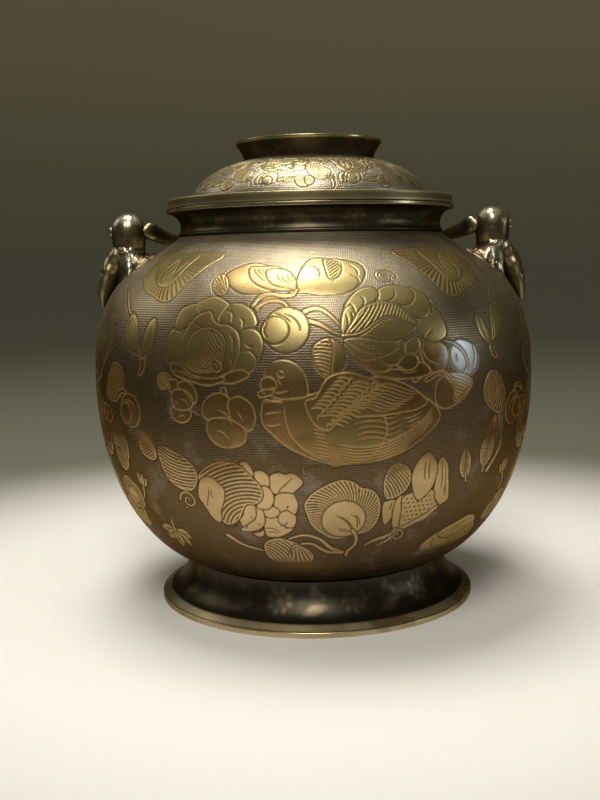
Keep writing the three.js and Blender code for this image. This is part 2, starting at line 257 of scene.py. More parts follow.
class Patch:
    # the surface round one motif, in units of the motif's size: x to the right, y up
    def __init__(self, sheet, angle, along, size, turn=0, flip=False, reach=1.3):
        self.sheet = sheet
        self.size = size
        rows = np.nonzero(np.abs(sheet.along - along) < size * reach)[0]
        each = 360 / sheet.columns
        narrow = max(sheet.radii[rows].min(), 5)
        half = min(int(math.degrees(size * reach / narrow) / each) + 1, sheet.columns // 2 - 1)
        steps = np.arange(-half, half + 1) + int(round((angle + 180) / each))
        self.where = np.ix_(rows, steps % sheet.columns)
        offset = np.radians(steps * each - 180 - angle)
        x = offset[None, :] * sheet.radii[rows][:, None]
        y = np.repeat((sheet.along[rows] - along)[:, None], len(steps), 1)
        self.shape = x.shape
        c, s = math.cos(math.radians(turn)), math.sin(math.radians(turn))
        self.x = ((x * c + y * s) / size * (-1 if flip else 1)).ravel()
        self.y = ((y * c - x * s) / size).ravel()
        self.cell = sheet.cell / size
        self.lift = sheet.lift[self.where].ravel()
        self.gilt = sheet.gilt[self.where].ravel()
        self.line = sheet.line[self.where].ravel()

    def press(self):
        for name in ("lift", "gilt", "line"):
            getattr(self.sheet, name)[self.where] = getattr(self, name).reshape(self.shape)

    def near(self, points, margin):
        low, high = points.min(0) - margin, points.max(0) + margin
        return np.nonzero((self.x > low[0]) & (self.x < high[0])
                          & (self.y > low[1]) & (self.y < high[1]))[0]

    def lay(self, at, inside, rise, gilt, mark):
        self.lift[at] += (rise - self.lift[at]) * inside
        self.gilt[at] += (gilt - self.gilt[at]) * inside
        self.line[at] = np.maximum(self.line[at] * (1 - inside), mark)

    # a petal, leaf or any other closed form with a line cut round it
    def form(self, points, level=1.0, hatch=None, crown=3.0):
        points = np.asarray(points, float)
        at = self.near(points, 3 * self.cell)
        if not len(at):
            return
        x, y = self.x[at], self.y[at]
        gap, _ = distanceTo(x, y, points, closed=True)
        inside = np.clip(0.5 - gap / self.cell, 0, 1)
        swell = 1 - (1 - np.clip(-gap * self.size / crown, 0, 1)) ** 2
        rise = chasing["step"] * level + chasing["crown"] * swell
        mark = np.clip(1.35 - np.abs(gap) * self.size / chasing["lineHalf"], 0, 1)
        if hatch is not None:
            safe = np.clip((-gap * self.size - 0.6) / 0.4, 0, 1)
            mark = np.maximum(mark, hatch(x, y) * safe)
        self.lay(at, inside, rise, 1.0, mark)

    # the same, drawn smoothly through a few points
    def petal(self, points, level=1.0, hatch=None, crown=3.0):
        self.form(flowing(points, closed=True), level, hatch, crown)

    # a stem: a raised ribbon with a line cut down each side
    def ribbon(self, points, width=2.2, tip=0.6, level=0.8):
        points = np.asarray(points, float)
        at = self.near(points, (width + 1) / self.size)
        if not len(at):
            return
        gap, share = distanceTo(self.x[at], self.y[at], points)
        gap = gap * self.size - width / 2 * (1 - (1 - tip) * share)
        inside = np.clip(0.5 - gap / self.sheet.cell, 0, 1)
        rise = chasing["step"] * level + chasing["crown"] * 0.8 * np.clip(-gap, 0, 1)
        mark = np.clip(1.35 - np.abs(gap) / chasing["lineHalf"], 0, 1)
        self.lay(at, inside, rise, chasing["stemGilt"], mark)

    # one stroke of the graver, thin at both ends
    def cut(self, points, width=1.0):
        points = np.asarray(points, float)
        at = self.near(points, 2 * self.cell)
        if not len(at):
            return
        gap, share = distanceTo(self.x[at], self.y[at], points)
        half = chasing["lineHalf"] * width * (0.35 + 0.65 * np.sin(math.pi * share) ** 0.5)
        mark = np.clip(1.25 - gap * self.size / half, 0, 1)
        self.line[at] = np.maximum(self.line[at], mark)

    def scratch(self, *lines, width=1.0):
        for line in lines:
            self.cut(flowing(line), width)


# each of these ways of hatching gives how strongly a place is cut
def combed(turn):
    away = np.abs(turn - np.round(turn))
    return np.clip((chasing["hatchWidth"] - away) / 0.16 + 0.5, 0, 1)


def rowsOf(pitch, facing=0, slant=0.0, bend=0.0):
    c, s = math.cos(math.radians(facing)), math.sin(math.radians(facing))

    def hatch(x, y):
        u = x * c + y * s
        v = y * c - x * s
        return combed((u + slant * np.abs(v) + bend * v * v) / pitch)
    return hatch


def raysFrom(middle, count, swirl=0.0):
    def hatch(x, y):
        x, y = x - middle[0], y - middle[1]
        return combed(count * np.arctan2(y, x) / (2 * math.pi) + swirl * np.hypot(x, y))
    return hatch


def arcsRound(middle, pitch):
    return lambda x, y: combed(np.hypot(x - middle[0], y - middle[1]) / pitch)


def dotsOf(pitch):
    def hatch(x, y):
        row = np.round(y / pitch)
        across = (x / pitch + 0.5 * (row % 2)) % 1 - 0.5
        return np.clip(1.5 - np.hypot(across, y / pitch - row) / 0.2, 0, 1)
    return hatch


# The larger motifs are drawn in millimetres about their own middle,
# and the smaller ones in shares of their size.

def polar(facing, radius, middle=(0, 0)):
    angle = np.radians(facing)
    return np.stack([middle[0] + radius * np.cos(angle), middle[1] + radius * np.sin(angle)], -1)


def leafOutline(length, width, bend=0.0, middle=(0, 0), facing=0, fullest=0.75):
    share = np.linspace(0, 1, 13)
    half = width * np.sin(math.pi * share ** fullest)
    x = (share * 2 - 1) * length
    spine = bend * (1 - (share * 2 - 1) ** 2)
    upper = np.stack([x, spine + half], 1)
    lower = np.stack([x, spine - half], 1)[::-1]
    outline = np.vstack([upper, lower[1:-1]])
    c, s = math.cos(math.radians(facing)), math.sin(math.radians(facing))
    return outline @ np.array([[c, s], [-s, c]]) + np.array(middle)


# a double bloom: cloud-shaped petals round a cup with a hatched petal folded into it
def cupPeony(patch):
    for points in (
            [(-16.4, 5.4), (-19.8, 2), (-20.6, -3), (-18.8, -8), (-14, -8), (-9, 0), (-10, 5)],
            [(-12.4, 14.2), (-8, 15.4), (-5.4, 12), (-9, 7), (-14, 4.4), (-16.8, 6), (-15, 12.6)],
            [(-7.6, 15), (-5, 17.4), (-1, 18.4), (3, 17), (6.2, 14.4), (5.6, 9.6), (2, 7.2), (-3, 8.6)],
            [(3.4, 8), (5, 13.2), (6.6, 15), (10, 15.4), (14, 13.6), (17, 10.4), (17.8, 6.4), (11.6, 3.6)],
            [(11.6, 3.4), (14, 5.2), (17.2, 5.2), (20, 3), (21.2, -0.6), (20.4, -5), (18, -9), (11.4, -3)],
            [(8, -5), (12.6, -3.4), (15.4, -2.8), (17.8, -4.2), (19, -7), (17, -10.6), (13, -12.4),
             (8, -12)],
            [(4.6, -14.4), (7.6, -11.4), (10.6, -10.2), (14, -9.8), (16.2, -11.8), (13, -14), (9, -15)],
            [(-17.8, -9.6), (-15, -12.8), (-9, -14.4), (-2, -16), (3, -15.4), (6.4, -13), (-4, -10),
             (-15.6, -8)]):
        patch.petal(points, 1.0)
    patch.scratch([(-16.4, -10.8), (-12, -11.4), (-7, -13.2), (-1, -13.2), (4, -13.4)],
                  [(5.2, 12.4), (7.6, 11.6), (8.4, 9.6), (8, 7.4)], [(11.4, 9.4), (12.8, 7.8), (12.6, 5.6)],
                  [(14.4, -0.4), (16.4, -1.6), (17.4, -0.4)], [(-16, 4.6), (-13, 3.8), (-9, 3.2)])
    patch.petal([(-2.8, 12.2), (-0.6, 11.6), (0.6, 9.2), (3, 7.2), (6.2, 7), (9, 5.8), (11.2, 3.6),
                 (12.4, 0), (12, -5), (9.4, -10), (4, -13), (-3, -13.2), (-9.6, -11), (-13.4, -6),
                 (-13.6, 0), (-11, 5), (-7.6, 9.8)], 2.0)
    patch.scratch([(-10.4, 8), (-8, 8), (-6, 6.4), (-3.4, 5.6)], [(-13, -2.4), (-11, -0.8), (-9.6, 1)],
                  [(8, 3.4), (9.6, 0.6), (9.6, -3)], [(8.6, -5), (9.4, -8)],
                  [(-12, -7), (-8, -10), (-3, -12)])
    patch.petal([(-11.4, -3.4), (-9.6, 0.4), (-7.8, 3.3), (-4.6, 5.4), (-0.4, 5.9), (3, 4.6), (5.6, 2.2),
                 (6.6, -1), (5.8, -6), (2, -10.4), (-4, -11), (-9, -8.6)], 3.0)
    patch.petal([(0.2, 4.2), (3, 3.2), (5.2, 0.8), (5.8, -2.4), (4.2, -7), (0.6, -9.9), (-4, -10.2),
                 (-8.4, -7.8), (-7.8, -4.6), (-4.7, -2.2), (-3.8, -0.7), (-1.6, 0.3), (-0.5, 2.6)], 2.6,
                rowsOf(1.25, facing=36, bend=-0.02))
    patch.petal([(1.2, -5.8), (3, -6), (4.8, -7.4), (5, -9.8), (3, -10.8), (1.2, -9)], 3.4)
    patch.scratch([(1.8, -8.4), (3, -7.8), (3.6, -8.8), (2.8, -9.6)])


# a bloom held by a broad pointed petal, hatched on both sides of a double rib
def leafPeony(patch):
    for points in (
            [(12, -1), (17, -2.4), (20, -5), (20.6, -9), (18, -12.8), (13, -13.8), (9.6, -10), (8.6, -5)],
            [(9, 6), (14, 8.4), (18.2, 9.6), (20.4, 5), (20.6, 0), (17, -2.4), (11, -2), (8, 2)],
            [(2, -12), (6, -10), (10, -10.4), (12.4, -13.6), (8, -15.4), (0, -15.6), (-8, -15),
             (-12, -11.6)],
            [(-21, -1), (-19.6, -6), (-16.6, -9.8), (-12.6, -12), (-6, -12.4), (-4, -8), (-10, -2)],
            [(5, 9), (8, 7), (11.6, 6.6), (14.2, 8.6), (15.6, 11.4), (14.8, 15), (12, 17.8), (7.6, 19.6),
             (1, 14)],
            [(15, 13.6), (16.6, 14.4), (18.6, 11.2), (17, 10.6)],
            [(-3, 13.4), (-6, 15), (-5.6, 18.6), (-1.6, 20.8), (3, 21), (7.6, 19.4), (9, 15.6), (5, 12)],
            [(-16, 8), (-19.8, 10.6), (-17.6, 15), (-14, 18.4), (-10.6, 20.2), (-6.4, 20.4), (-5.2, 17.4),
             (-6.6, 15), (-9, 13)],
            [(-21.4, 1), (-21.8, 5), (-20.6, 9.6), (-18.4, 12.4), (-16.4, 12.6), (-15.8, 8), (-17, 3)]):
        patch.petal(points, 1.0)
    patch.scratch([(-12.4, 16.6), (-11.6, 15), (-12, 13), (-13.8, 11)],
                  [(1.4, 19.4), (1.2, 17), (-0.4, 15), (-3, 13.9)], [(-19.4, 3), (-19, 7), (-19.6, 10)],
                  [(-17.6, 3), (-17, 7), (-17.2, 10)], [(9.4, -3), (10, -7), (12.4, -9.6), (16, -10.8)],
                  [(6.4, -12.6), (4.4, -13.4), (1.6, -13.4), (-0.6, -12)], [(14, 2), (12, 0.6), (11, -1)],
                  [(-12.8, -10.4), (-16, -9.4)])
    patch.petal([(0, -1), (2.2, -2.6), (2.6, -6), (0.4, -9.2), (-4, -10.5), (-7.4, -9.4), (-10, -5)], 2.0)
    patch.petal([(2.6, -2), (7, 0), (8.6, -3), (7, -5.6), (4.6, -6.4), (2.6, -5.8)], 1.8)
    patch.petal([(2.2, -6.4), (5, -6.6), (7.2, -8.6), (6, -11.4), (2.6, -12.6), (-0.6, -11.4), (-1.6, -10)],
                1.6)
    patch.petal([(-20.6, 0), (-18, -5), (-14.4, -7.6), (-9.8, -7.2), (-5, -6), (-2, -3)], 2.4)
    patch.petal([(-20.4, 0.4), (-16.4, -3.2), (-12, -5.2), (-7, -5.4), (-3.8, -4.6), (-1.4, -2.4),
                 (-3, -0.6), (-10, 0.4)], 2.8)
    patch.scratch([(-16, -1), (-12.4, -2.4), (-9.4, -2.6)], [(-14, -2.6), (-11, -3.6), (-8, -3.8)])
    patch.petal([(-20.8, 1.4), (-16.4, 7.6), (-14, 10.8), (-11, 12.7), (-7, 13.8), (-2, 13.6), (2, 12),
                 (5.2, 9), (7.4, 6), (8.2, 3.6), (3, 4.6), (-1, 7.6), (-5, 7.6), (-9, 5.6), (-13, 3),
                 (-17, 1.2)], 3.4,
                rowsOf(1.3, facing=-38, bend=0.012))
    patch.petal([(-20.6, 0.8), (-16, 1.2), (-12.4, 2.6), (-9, 5), (-5, 7), (-1, 7.2), (3, 5.2), (8, 3.6),
                 (4, 0.4), (0, -0.8), (-5, -1.3), (-9, -0.8), (-12.5, 0.1)], 3.4,
                rowsOf(1.2, facing=58, bend=0.01))
    patch.ribbon(flowing([(-21.6, 1), (-17, 1.3), (-13, 2.8), (-9, 5.4), (-5, 7.2), (-1, 7.4), (3, 5.6),
                          (7.4, 3.6)]),
                 1.5, 0.3, 3.8)


# a bloom with a ribbed dome and a smooth one, and small round petals beside them
def shellPeony(patch):
    patch.petal([(8.8, 9.8), (10.4, 11.6), (13, 12.2), (15, 11.5), (17.6, 12), (20, 10.6), (21.6, 8),
                 (20.4, 6), (18.6, 4.4), (17, 3), (12, 2.6), (9, 4)], 1.2)
    patch.petal([(5, -8), (10, -7.4), (13, -9), (16.6, -9.4), (15.6, -13), (12, -16), (8, -17.5),
                 (4.2, -16.4)], 1.2)
    patch.petal([(11, -5.6), (13.4, -4.2), (16, -4.4), (17.4, -7.4), (16.8, -10.4), (14.6, -12.6),
                 (10.4, -10)], 1.5)
    patch.petal([(9.8, 1.4), (12, 3.4), (15, 3.6), (17.6, 3), (18.4, 1), (18.8, -1.6), (18, -4.6),
                 (16.8, -6), (14, -4.2), (11.4, -5), (9.4, -2.4)], 1.5)
    patch.petal([(2.8, 10.4), (3.4, 12.4), (5.8, 12.9), (8, 11.6), (8.9, 9.6), (8.6, 6.4), (6, 5),
                 (4.4, 7)], 1.6)
    patch.petal([(-2.6, 13.4), (-2, 16), (0.5, 16.4), (2.4, 13.6), (3, 11), (2.2, 9.4), (0, 10.4)], 1.4)
    patch.scratch([(17.8, 10), (15, 7.2), (12.6, 5), (11.2, 2.4)], [(-1.6, 15), (-0.4, 12.6), (1.4, 10.6)],
                  [(14.8, -2), (14.4, -3.6)], [(10.4, -11.8), (12.2, -11.2), (13.8, -9.6)],
                  [(4.4, -13), (7, -12.8), (10, -14.4)], [(4.6, -14.6), (7.4, -14.6), (9.6, -15.4)],
                  [(12, -12.4), (13.4, -12.8)])
    patch.petal([(-1, -15.6), (2, -15), (3.9, -13.6), (3.4, -16.6), (1, -17.6)], 1.4)
    patch.petal([(7.6, -2), (10.2, -3), (11.4, -4.8), (10.4, -6.8), (7.4, -8), (5.2, -6.8), (4.6, -4)], 2.0)
    patch.petal([(1.9, -2.6), (4.6, -4), (5.2, -7.6), (4.6, -10.8), (2, -13.8), (-2.6, -15.2),
                 (-5.8, -14.6), (-3.8, -12.2), (-1, -10), (1.2, -7)], 2.2)
    patch.petal([(-1, -2.2), (1.8, -2.2), (2, -5.6), (1, -8.8), (-1.6, -10.8), (-4.4, -12.8), (-5.4, -9.6),
                 (-3.8, -7.4), (-2.6, -4.2)], 2.6)
    patch.scratch([(-0.4, -7.4), (0.4, -8.6)], [(1.6, -10.6), (3, -11.4)], [(-3.4, -13.6), (-2.6, -12.4)])
    patch.petal([(5.4, 6), (7.8, 6.1), (9.4, 4), (10, 1), (9, -1.8), (7.4, -3.6), (5, -4), (2.6, -3),
                 (4, 1)], 2.4)
    patch.petal([(-21, 8), (-17.4, 12.8), (-12, 15.6), (-7, 16.2), (-3, 15), (0.2, 12.4), (2.8, 9.4),
                 (4.9, 6.8), (5.9, 3.6), (5.2, 0.6), (3.4, -1.4), (1, -2.2), (-1.2, -2.2), (-2.8, -4.6),
                 (-4.2, -7.5), (-5.8, -9.8), (-9, -12), (-13, -11), (-16, 2)], 3.2,
                arcsRound((0, -14), 1.62))
    patch.petal([(-21.6, 3.4), (-21.9, -0.5), (-20.4, -3.4), (-19, -6), (-17.4, -9.5), (-14.6, -11.8),
                 (-13, -10), (-12.6, -6), (-11.3, -3), (-9.9, 1), (-10, 4.6), (-12, 6.8), (-13.8, 8.6),
                 (-17, 9.2), (-20, 7.4)], 3.8)
    patch.scratch([(-16.4, 4.4), (-17.4, 0), (-18.6, -4.4)], [(-15.4, 3.4), (-16, 1.6), (-15.4, 0)],
                  [(-6, -11.4), (-9, -13.4), (-13, -12.6)])


# a round leaf seen from above: a plain disc with ribs that join the stem, in a wide hatched rim
def roundLeaf(patch):
    patch.petal([(-14.6, 4), (-12.6, 8), (-9, 11.1), (-4, 13.7), (0, 14.6), (4, 13.6), (7.2, 11),
                 (10, 10.3), (12.8, 8.4), (14.7, 5), (15.3, 1), (14.8, -3), (13.4, -6.8), (10.6, -9.8),
                 (6, -11), (0, -12.6), (-4, -12.2), (-8, -9.4), (-11.4, -5.8), (-13.3, -1)], 1.2,
                raysFrom((0.8, -3), 62, -0.4))
    patch.petal(polar(np.arange(0, 360, 30), 8.5, (0.8, -3)), 2.6)
    patch.scratch([(-2.6, -1), (0.4, -2.8), (3, -5.8), (4.4, -9)], [(-0.6, -1.6), (2.4, -4), (5, -8.4)],
                  [(3.6, -0.8), (5.4, -2.4), (6.2, -5), (6.2, -8)], [(5, -1), (6.6, -3), (7.4, -6.4)],
                  [(-1, -7.8), (1.4, -7.8), (3.6, -9.4)], [(-0.6, -8.6), (1.2, -8.8), (3, -10)])
    patch.ribbon(flowing([(4.4, -8.4), (6.2, -12.4), (5.6, -16.6), (3.4, -19.4), (2.8, -22)]), 1.7, 1.0, 3)


# a leaf rolled over from its edge
def curledLeaf(patch):
    patch.petal([(-10, 3), (-8, 6.4), (-3, 8), (2, 6.2), (6, 3.6), (8.6, 0.4), (9.4, -3.2), (7, -6.4),
                 (1, -7.6), (-5, -6.6), (-9, -3)], 1.2, arcsRound((-12, -6), 1.5))
    patch.petal([(0.4, 1.6), (2.2, 4.4), (5, 3.8), (8.4, 0.6), (9.4, -3.2), (7, -6.4), (2, -7.4),
                 (-0.6, -3)], 2.2,
                raysFrom((3, 9), 46))
    patch.scratch([(0.4, -1.6), (0.8, 1.6), (3, 3.4)])


# a lotus that is past flowering: dotted pod, a few long petals, a forked stem
def lotusPod(patch):
    patch.petal([(4.8, 8), (5, 14.4), (7, 16.6), (10, 13), (11.2, 7), (12.6, 1), (13, -3), (9.6, -5.2),
                 (7, -3.4), (4.6, 1)], 1.2)
    patch.scratch([(6.6, 14.6), (7.8, 8), (8.2, 2)], [(8.6, 12.6), (9.6, 7), (9.8, 1)],
                  [(10.6, 4), (10.4, -1)])
    patch.petal([(-17.6, 11), (-17.8, 6), (-16.2, 1), (-13, 0.6), (-9.6, 2.2), (-7.2, 5), (-6.4, 9),
                 (-8, 13.4), (-12, 15.8), (-15.6, 14.8)], 1.4, rowsOf(1.35, facing=8, bend=0.03))
    patch.petal([(-16.8, -1), (-14, 0.3), (-11.2, -0.2), (-11.8, -4), (-11.8, -8), (-13.4, -11.2),
                 (-14.8, -10.8), (-16.4, -6)], 1.6)
    patch.scratch([(-13, -0.4), (-13.6, -4.4)])
    patch.petal([(-9.6, 1.8), (-12, -2.4), (-11.8, -8), (-10.6, -13), (-8.6, -16.6), (-4, -14.2),
                 (0, -12.4), (4, -11), (6.8, -8), (8.6, -5), (2, 1)], 1.8)
    patch.petal([(-9, 0.8), (-8.6, -4), (-8.2, -8), (-7.6, -12.8), (-4.4, -12.2), (0, -9.6), (4, -7.6),
                 (6.6, -5.4), (8.2, -5), (6, -2), (4.8, 2), (2, 3), (-4, 3)], 2.4, dotsOf(2.0))
    patch.petal([(-6.4, 11), (-6, 6), (-4, 0.8), (-1.8, -1.4), (0.8, 0), (3.8, 4), (4.9, 9), (4.6, 13.6),
                 (2.2, 17.8), (-0.6, 19.4), (-4.2, 16.4)], 3.0)
    patch.scratch([(-1.3, 15.8), (-1, 11), (-0.4, 7.6)], [(0.9, 15.8), (1, 11), (1.6, 7.6)], width=1.1)
    patch.ribbon(flowing([(-9, -14.6), (-11.6, -17.2), (-16, -18.7), (-20, -21.2)]), 3.0, 0.35, 2)
    patch.ribbon(flowing([(-7.6, -15.4), (-10.4, -19.2), (-15.2, -22.4)]), 2.4, 0.35, 2.2)


# hangs from the neck: a hatched border open at the top, with a bud and rays in it
def pendantLeaf(patch):
    patch.petal([(-16.4, 24), (-16.6, 14), (-14.4, 6), (-12.6, -1), (-10, -4.4), (-4, -4.2), (1, -2),
                 (6, -0.6), (12, 2.4), (17, 6.4), (20, 12), (19, 24)], 1.2, raysFrom((2, 16), 58))
    patch.petal([(-5, 24), (-6.2, 14), (-6.6, 8), (-5.2, 3.2), (0, 2.8), (5, 5.4), (9.6, 10), (12.6, 16),
                 (13, 24)], 2.0)
    patch.petal(leafOutline(7.4, 3.2, 0, (2.2, 12.6), 82)[::2], 2.6)
    patch.scratch([(-2.4, 16), (-0.8, 9), (1, 5.6)], [(8.6, 19), (6.4, 12), (3.4, 7)],
                  [(10.6, 17), (8.6, 12), (6.4, 9)], [(1.4, 17), (1.8, 12), (2, 8)],
                  [(-4, 18), (-3.4, 11), (-2.4, 7)], width=0.9)


# a wide flower that turns over, at the top between two pendant leaves
def scrollFlower(patch):
    patch.petal([(-28.4, 6), (-28, 0.4), (-25, -4), (-20, -5.8), (-13.4, -5.4), (-8, -3), (-9, 6),
                 (-18, 12)], 1.0)
    patch.petal([(-1.6, -4), (3, -5.7), (9, -6.7), (15, -6.5), (19.8, -5), (23.2, -2), (25, 3), (24, 8),
                 (20, 11.6), (12, 13.6), (3, 13)], 1.0)
    patch.petal([(9, 13.4), (9.6, 7), (11.4, 1), (14.6, 2.4), (16, 6.6), (15, 11)], 1.6,
                rowsOf(1.35, facing=-42))
    patch.scratch([(3.4, 9.8), (6.2, 8), (7.5, 5), (7.8, 1.4)], [(14.4, 10.4), (15.9, 7), (15.2, 2.6),
                                                                 (12.4, -0.6)],
                  [(19, 3.2), (21.6, 1.6), (22.6, -1.4), (20.8, -4.2)], [(19, 9), (21.8, 5.6), (22, 2.6)],
                  width=1.1)
    patch.petal([(-19.6, 9), (-19.4, 3), (-16.8, -1), (-13, -3.3), (-9, -4.2), (-3, -4.4), (-0.8, -3.4),
                 (-3, 4), (-9, 9), (-14, 9.4)], 2.0)
    patch.petal([(-12.6, 7), (-12.2, 1.4), (-9.4, -2), (-4, -3.4), (-0.8, -3.4), (-2, 3), (-6.4, 7.4)], 2.4)
    patch.scratch([(-18, 8), (-17, 5), (-15, 2), (-12.8, 0)], [(-16.4, 8), (-15.6, 5.6), (-13.6, 3)],
                  [(-14.8, 7.6), (-14.2, 6), (-13.2, 4.6)], [(-8.6, 4.6), (-8, 1.6), (-5.6, -1)],
                  [(-7, 3.6), (-5.8, 0.8), (-3.4, -1.6)], [(-4.8, 4.4), (-4, 1.4), (-2.4, -0.8)],
                  [(-3, 3.6), (-1.8, 0)])
    patch.petal([(-31, 5), (-33.8, 2.4), (-34.6, -1.6), (-33, -5.4), (-30, -6.6), (-27.6, -3.4),
                 (-28, 1.6)], 1.6,
                raysFrom((-27.6, -4.6), 34))
    patch.ribbon(flowing([(-17.4, -10.6), (-15, -7.4), (-11, -6), (-6, -6.8), (-2.4, -6.4), (-0.8, -4.4)]),
                 2.0, 0.8, 2.6)


# two round fruits on arching stalks
def fruitPair(patch):
    patch.ribbon(flowing([(-11.4, 8.6), (-8, 10.8), (-4, 11.4), (-1, 10.6), (0.4, 9)]), 1.8, 0.8, 1)
    patch.petal(polar(np.arange(0, 360, 30), 8.7, (0.4, 0)), 1.2)
    patch.scratch([(-1, 6.2), (2.6, 4.6), (5, 1.8), (5.4, -0.6)], [(-4.4, 6.4), (-0.6, 5), (2, 2.6)],
                  width=1.2)
    patch.petal(polar(np.arange(0, 360, 30), 5.3, (-4, -0.2)), 2.4)
    patch.scratch([(-7, 2.6), (-8, -0.4), (-6.6, -3.4)], [(2.6, 8.2), (3.4, 7.4)], width=0.9)


# a leaf with one half hatched and the other left plain
def halfLeaf(patch):
    patch.petal([(-5, 2.6), (-2, 5), (1, 5.4), (4.4, 3), (6, -1), (4.6, -5.4), (1, -8.4), (-2.8, -6.4),
                 (-5.4, -1.6)], 1.2)
    patch.petal([(-5, 2.6), (-2, 5), (0.8, 5.2), (1.6, 1), (1.2, -4), (0.4, -8), (-2.8, -6.4),
                 (-5.4, -1.6)], 1.6,
                rowsOf(1.25, facing=68, bend=0.06))


# a rounded leaf combed from one side to the other
def combedLeaf(patch):
    patch.petal([(-10, 7), (-7, 9.4), (0, 7.6), (7, 3.4), (9, -1.6), (7, -7), (3, -9.4), (-3, -8),
                 (-8, -3)], 1.2,
                rowsOf(1.4, facing=80, bend=-0.02))


# a ball-shaped flower in two petals, over a leaf of three lobes
def ballFlower(patch):
    for points in ([(3, 4), (3.4, 8.6), (6, 11.6), (9.6, 12.9), (13, 12), (15, 9.6), (14, 4), (9, 1)],
                   [(13.6, 8.8), (17, 11.7), (20.4, 11), (23.4, 8), (24.2, 3.4), (22, -1), (16, 0)],
                   [(5, 2), (10, 3.4), (15.6, 2.4), (20, -1), (19.4, -5.6), (14, -8), (8, -7), (4.6, -3)],
                   [(-12, 6), (-11.6, 2.6), (-8, 0.8), (-4.6, 1.4), (-2.4, 4), (-3.4, 6.6), (-7.4, 7)]):
        patch.petal(points, 1.0)
    patch.scratch([(9, 6.6), (12, 5.4), (14, 2.8), (15.2, 0.6)], [(8.2, -1.4), (11, -2.4), (13.4, -5)],
                  [(17, 6.4), (18.4, 4.4), (19.2, 2.2)], [(-5, 6.8), (-1, 5.2), (2, 3.8)],
                  [(-8, 3), (-6, 3.6), (-5, 2.6)], width=1.1)
    patch.petal([(-12.8, 13.4), (-12.4, 16.4), (-10.2, 17.5), (-8, 16.2), (-8.2, 13.4), (-10.4, 12)], 1.4)
    patch.petal([(-8.2, 15.4), (-5, 17.1), (-1.8, 15.8), (0.6, 12), (-0.6, 8.4), (-4, 12), (-7, 13.4)], 1.8)
    patch.petal([(-11.4, 9.4), (-10.4, 12.8), (-6.8, 13.7), (-3, 12.2), (-1.2, 9.4), (-2.4, 6.6),
                 (-6.4, 5.4), (-10, 6.4)], 2.4)
    patch.scratch([(-5.6, 13), (-2.8, 11), (-2, 8.4)], [(-7.4, 10), (-5, 9.4), (-3.6, 7.6)],
                  [(-9.4, 9), (-8, 7.4)])


# a bud hanging in its two long leaves
def hangingBud(patch):
    patch.petal([(4.6, 5), (5.2, 11), (7.4, 17), (10.6, 18.6), (12.6, 15), (12.4, 9), (9.6, 4.6),
                 (5.6, 2.6)], 1.2)
    patch.petal([(-9, 11), (-8.6, 16.4), (-6, 20), (-2.6, 19.4), (0.2, 16), (2.4, 10), (4.4, 4), (1, 4),
                 (-5, 6.4)], 1.4)
    patch.scratch([(-6.8, 11), (-6.4, 15.6), (-4, 18)], [(-1.2, 15.4), (1, 9), (3, 5)],
                  [(8, 6), (9.4, 11), (9.4, 15.4)])
    patch.petal([(4.4, 2.6), (7.8, 2.4), (7.6, -1), (5.4, -4), (3.6, -3.6), (5, -0.6)], 1.8)


# a plump bud crossed by its own stem
def plumpBud(patch):
    patch.petal([(-7.6, 3.6), (-7.9, -0.4), (-6, -4), (-2.6, -6.4), (2.6, -7), (6.4, -4.6), (7.5, -0.6),
                 (6.2, 3.6), (2, 6.2), (-3, 7), (-6, 5.6)], 1.4)
    patch.petal([(-7.6, 3.2), (-7.9, -0.4), (-6, -4), (-2.6, -6.4), (0.4, -4.4), (1, -0.6), (-1.6, 3.4),
                 (-5, 5)], 2.0)
    patch.scratch([(-4.8, 1), (-4.6, -1), (-5, -2)], [(4.6, 4), (5.4, 0), (4.4, -4)])
    patch.ribbon(flowing([(-10, 6.6), (-5.4, 5.4), (-0.8, 2), (1, -2), (1.4, -5.4)]), 1.3, 0.7, 2.8)


# a drooping leaf on an arched stem, combed on its outer side
def archedLeaf(patch):
    patch.petal([(-6, 3), (-1, 4.6), (5, 4), (10, 1), (8, -3), (2, -7), (-4, -8.6), (-8, -6), (-8, 0)], 1.0)
    patch.petal([(-2, 4.4), (5, 4), (10, 1), (6, -3.4), (1, -6), (0.6, 0)], 1.6,
                rowsOf(1.35, facing=78, bend=0.02))
    patch.ribbon(flowing([(-12, 3), (-7, 5.2), (-3, 4.6), (0.4, 0.6), (2, -4.4)]), 1.5, 0.5, 2.4)


# a wide leaf low on the side, its edge turned over
def broadLeaf(patch):
    patch.petal([(-16, -8), (-13, -3), (-8, 0), (-1, 2.8), (6, 4.6), (11, 3), (13.4, -0.6), (16.4, -5),
                 (14, -9), (6, -12), (-4, -12.4), (-12, -12)], 1.2)
    patch.petal([(-10, -1.4), (-1, 2.8), (6, 4.6), (11, 3), (12.8, -0.6), (8, -2.6), (2, -5), (-5, -5.6)],
                2.0)
    patch.scratch([(-11, -4), (-9.6, -8.6), (-7, -11.6)], [(-2, -7), (2, -7.4), (6, -6)],
                  [(0, -9), (4, -10.6)], [(5, 2), (2, 0), (-2, -1.6)], [(8, -5), (12, -6.4)])


def hatchedLeaf(patch, lines=15):
    bend = 0.08
    patch.form(leafOutline(1.0, 0.42, bend), 1.2, rowsOf(2 / lines, slant=-0.8))
    patch.ribbon(flowing([(-1.12, -0.03), (-0.3, bend * 0.9), (0.9, 0)]), 1.3, 0.3, 2)


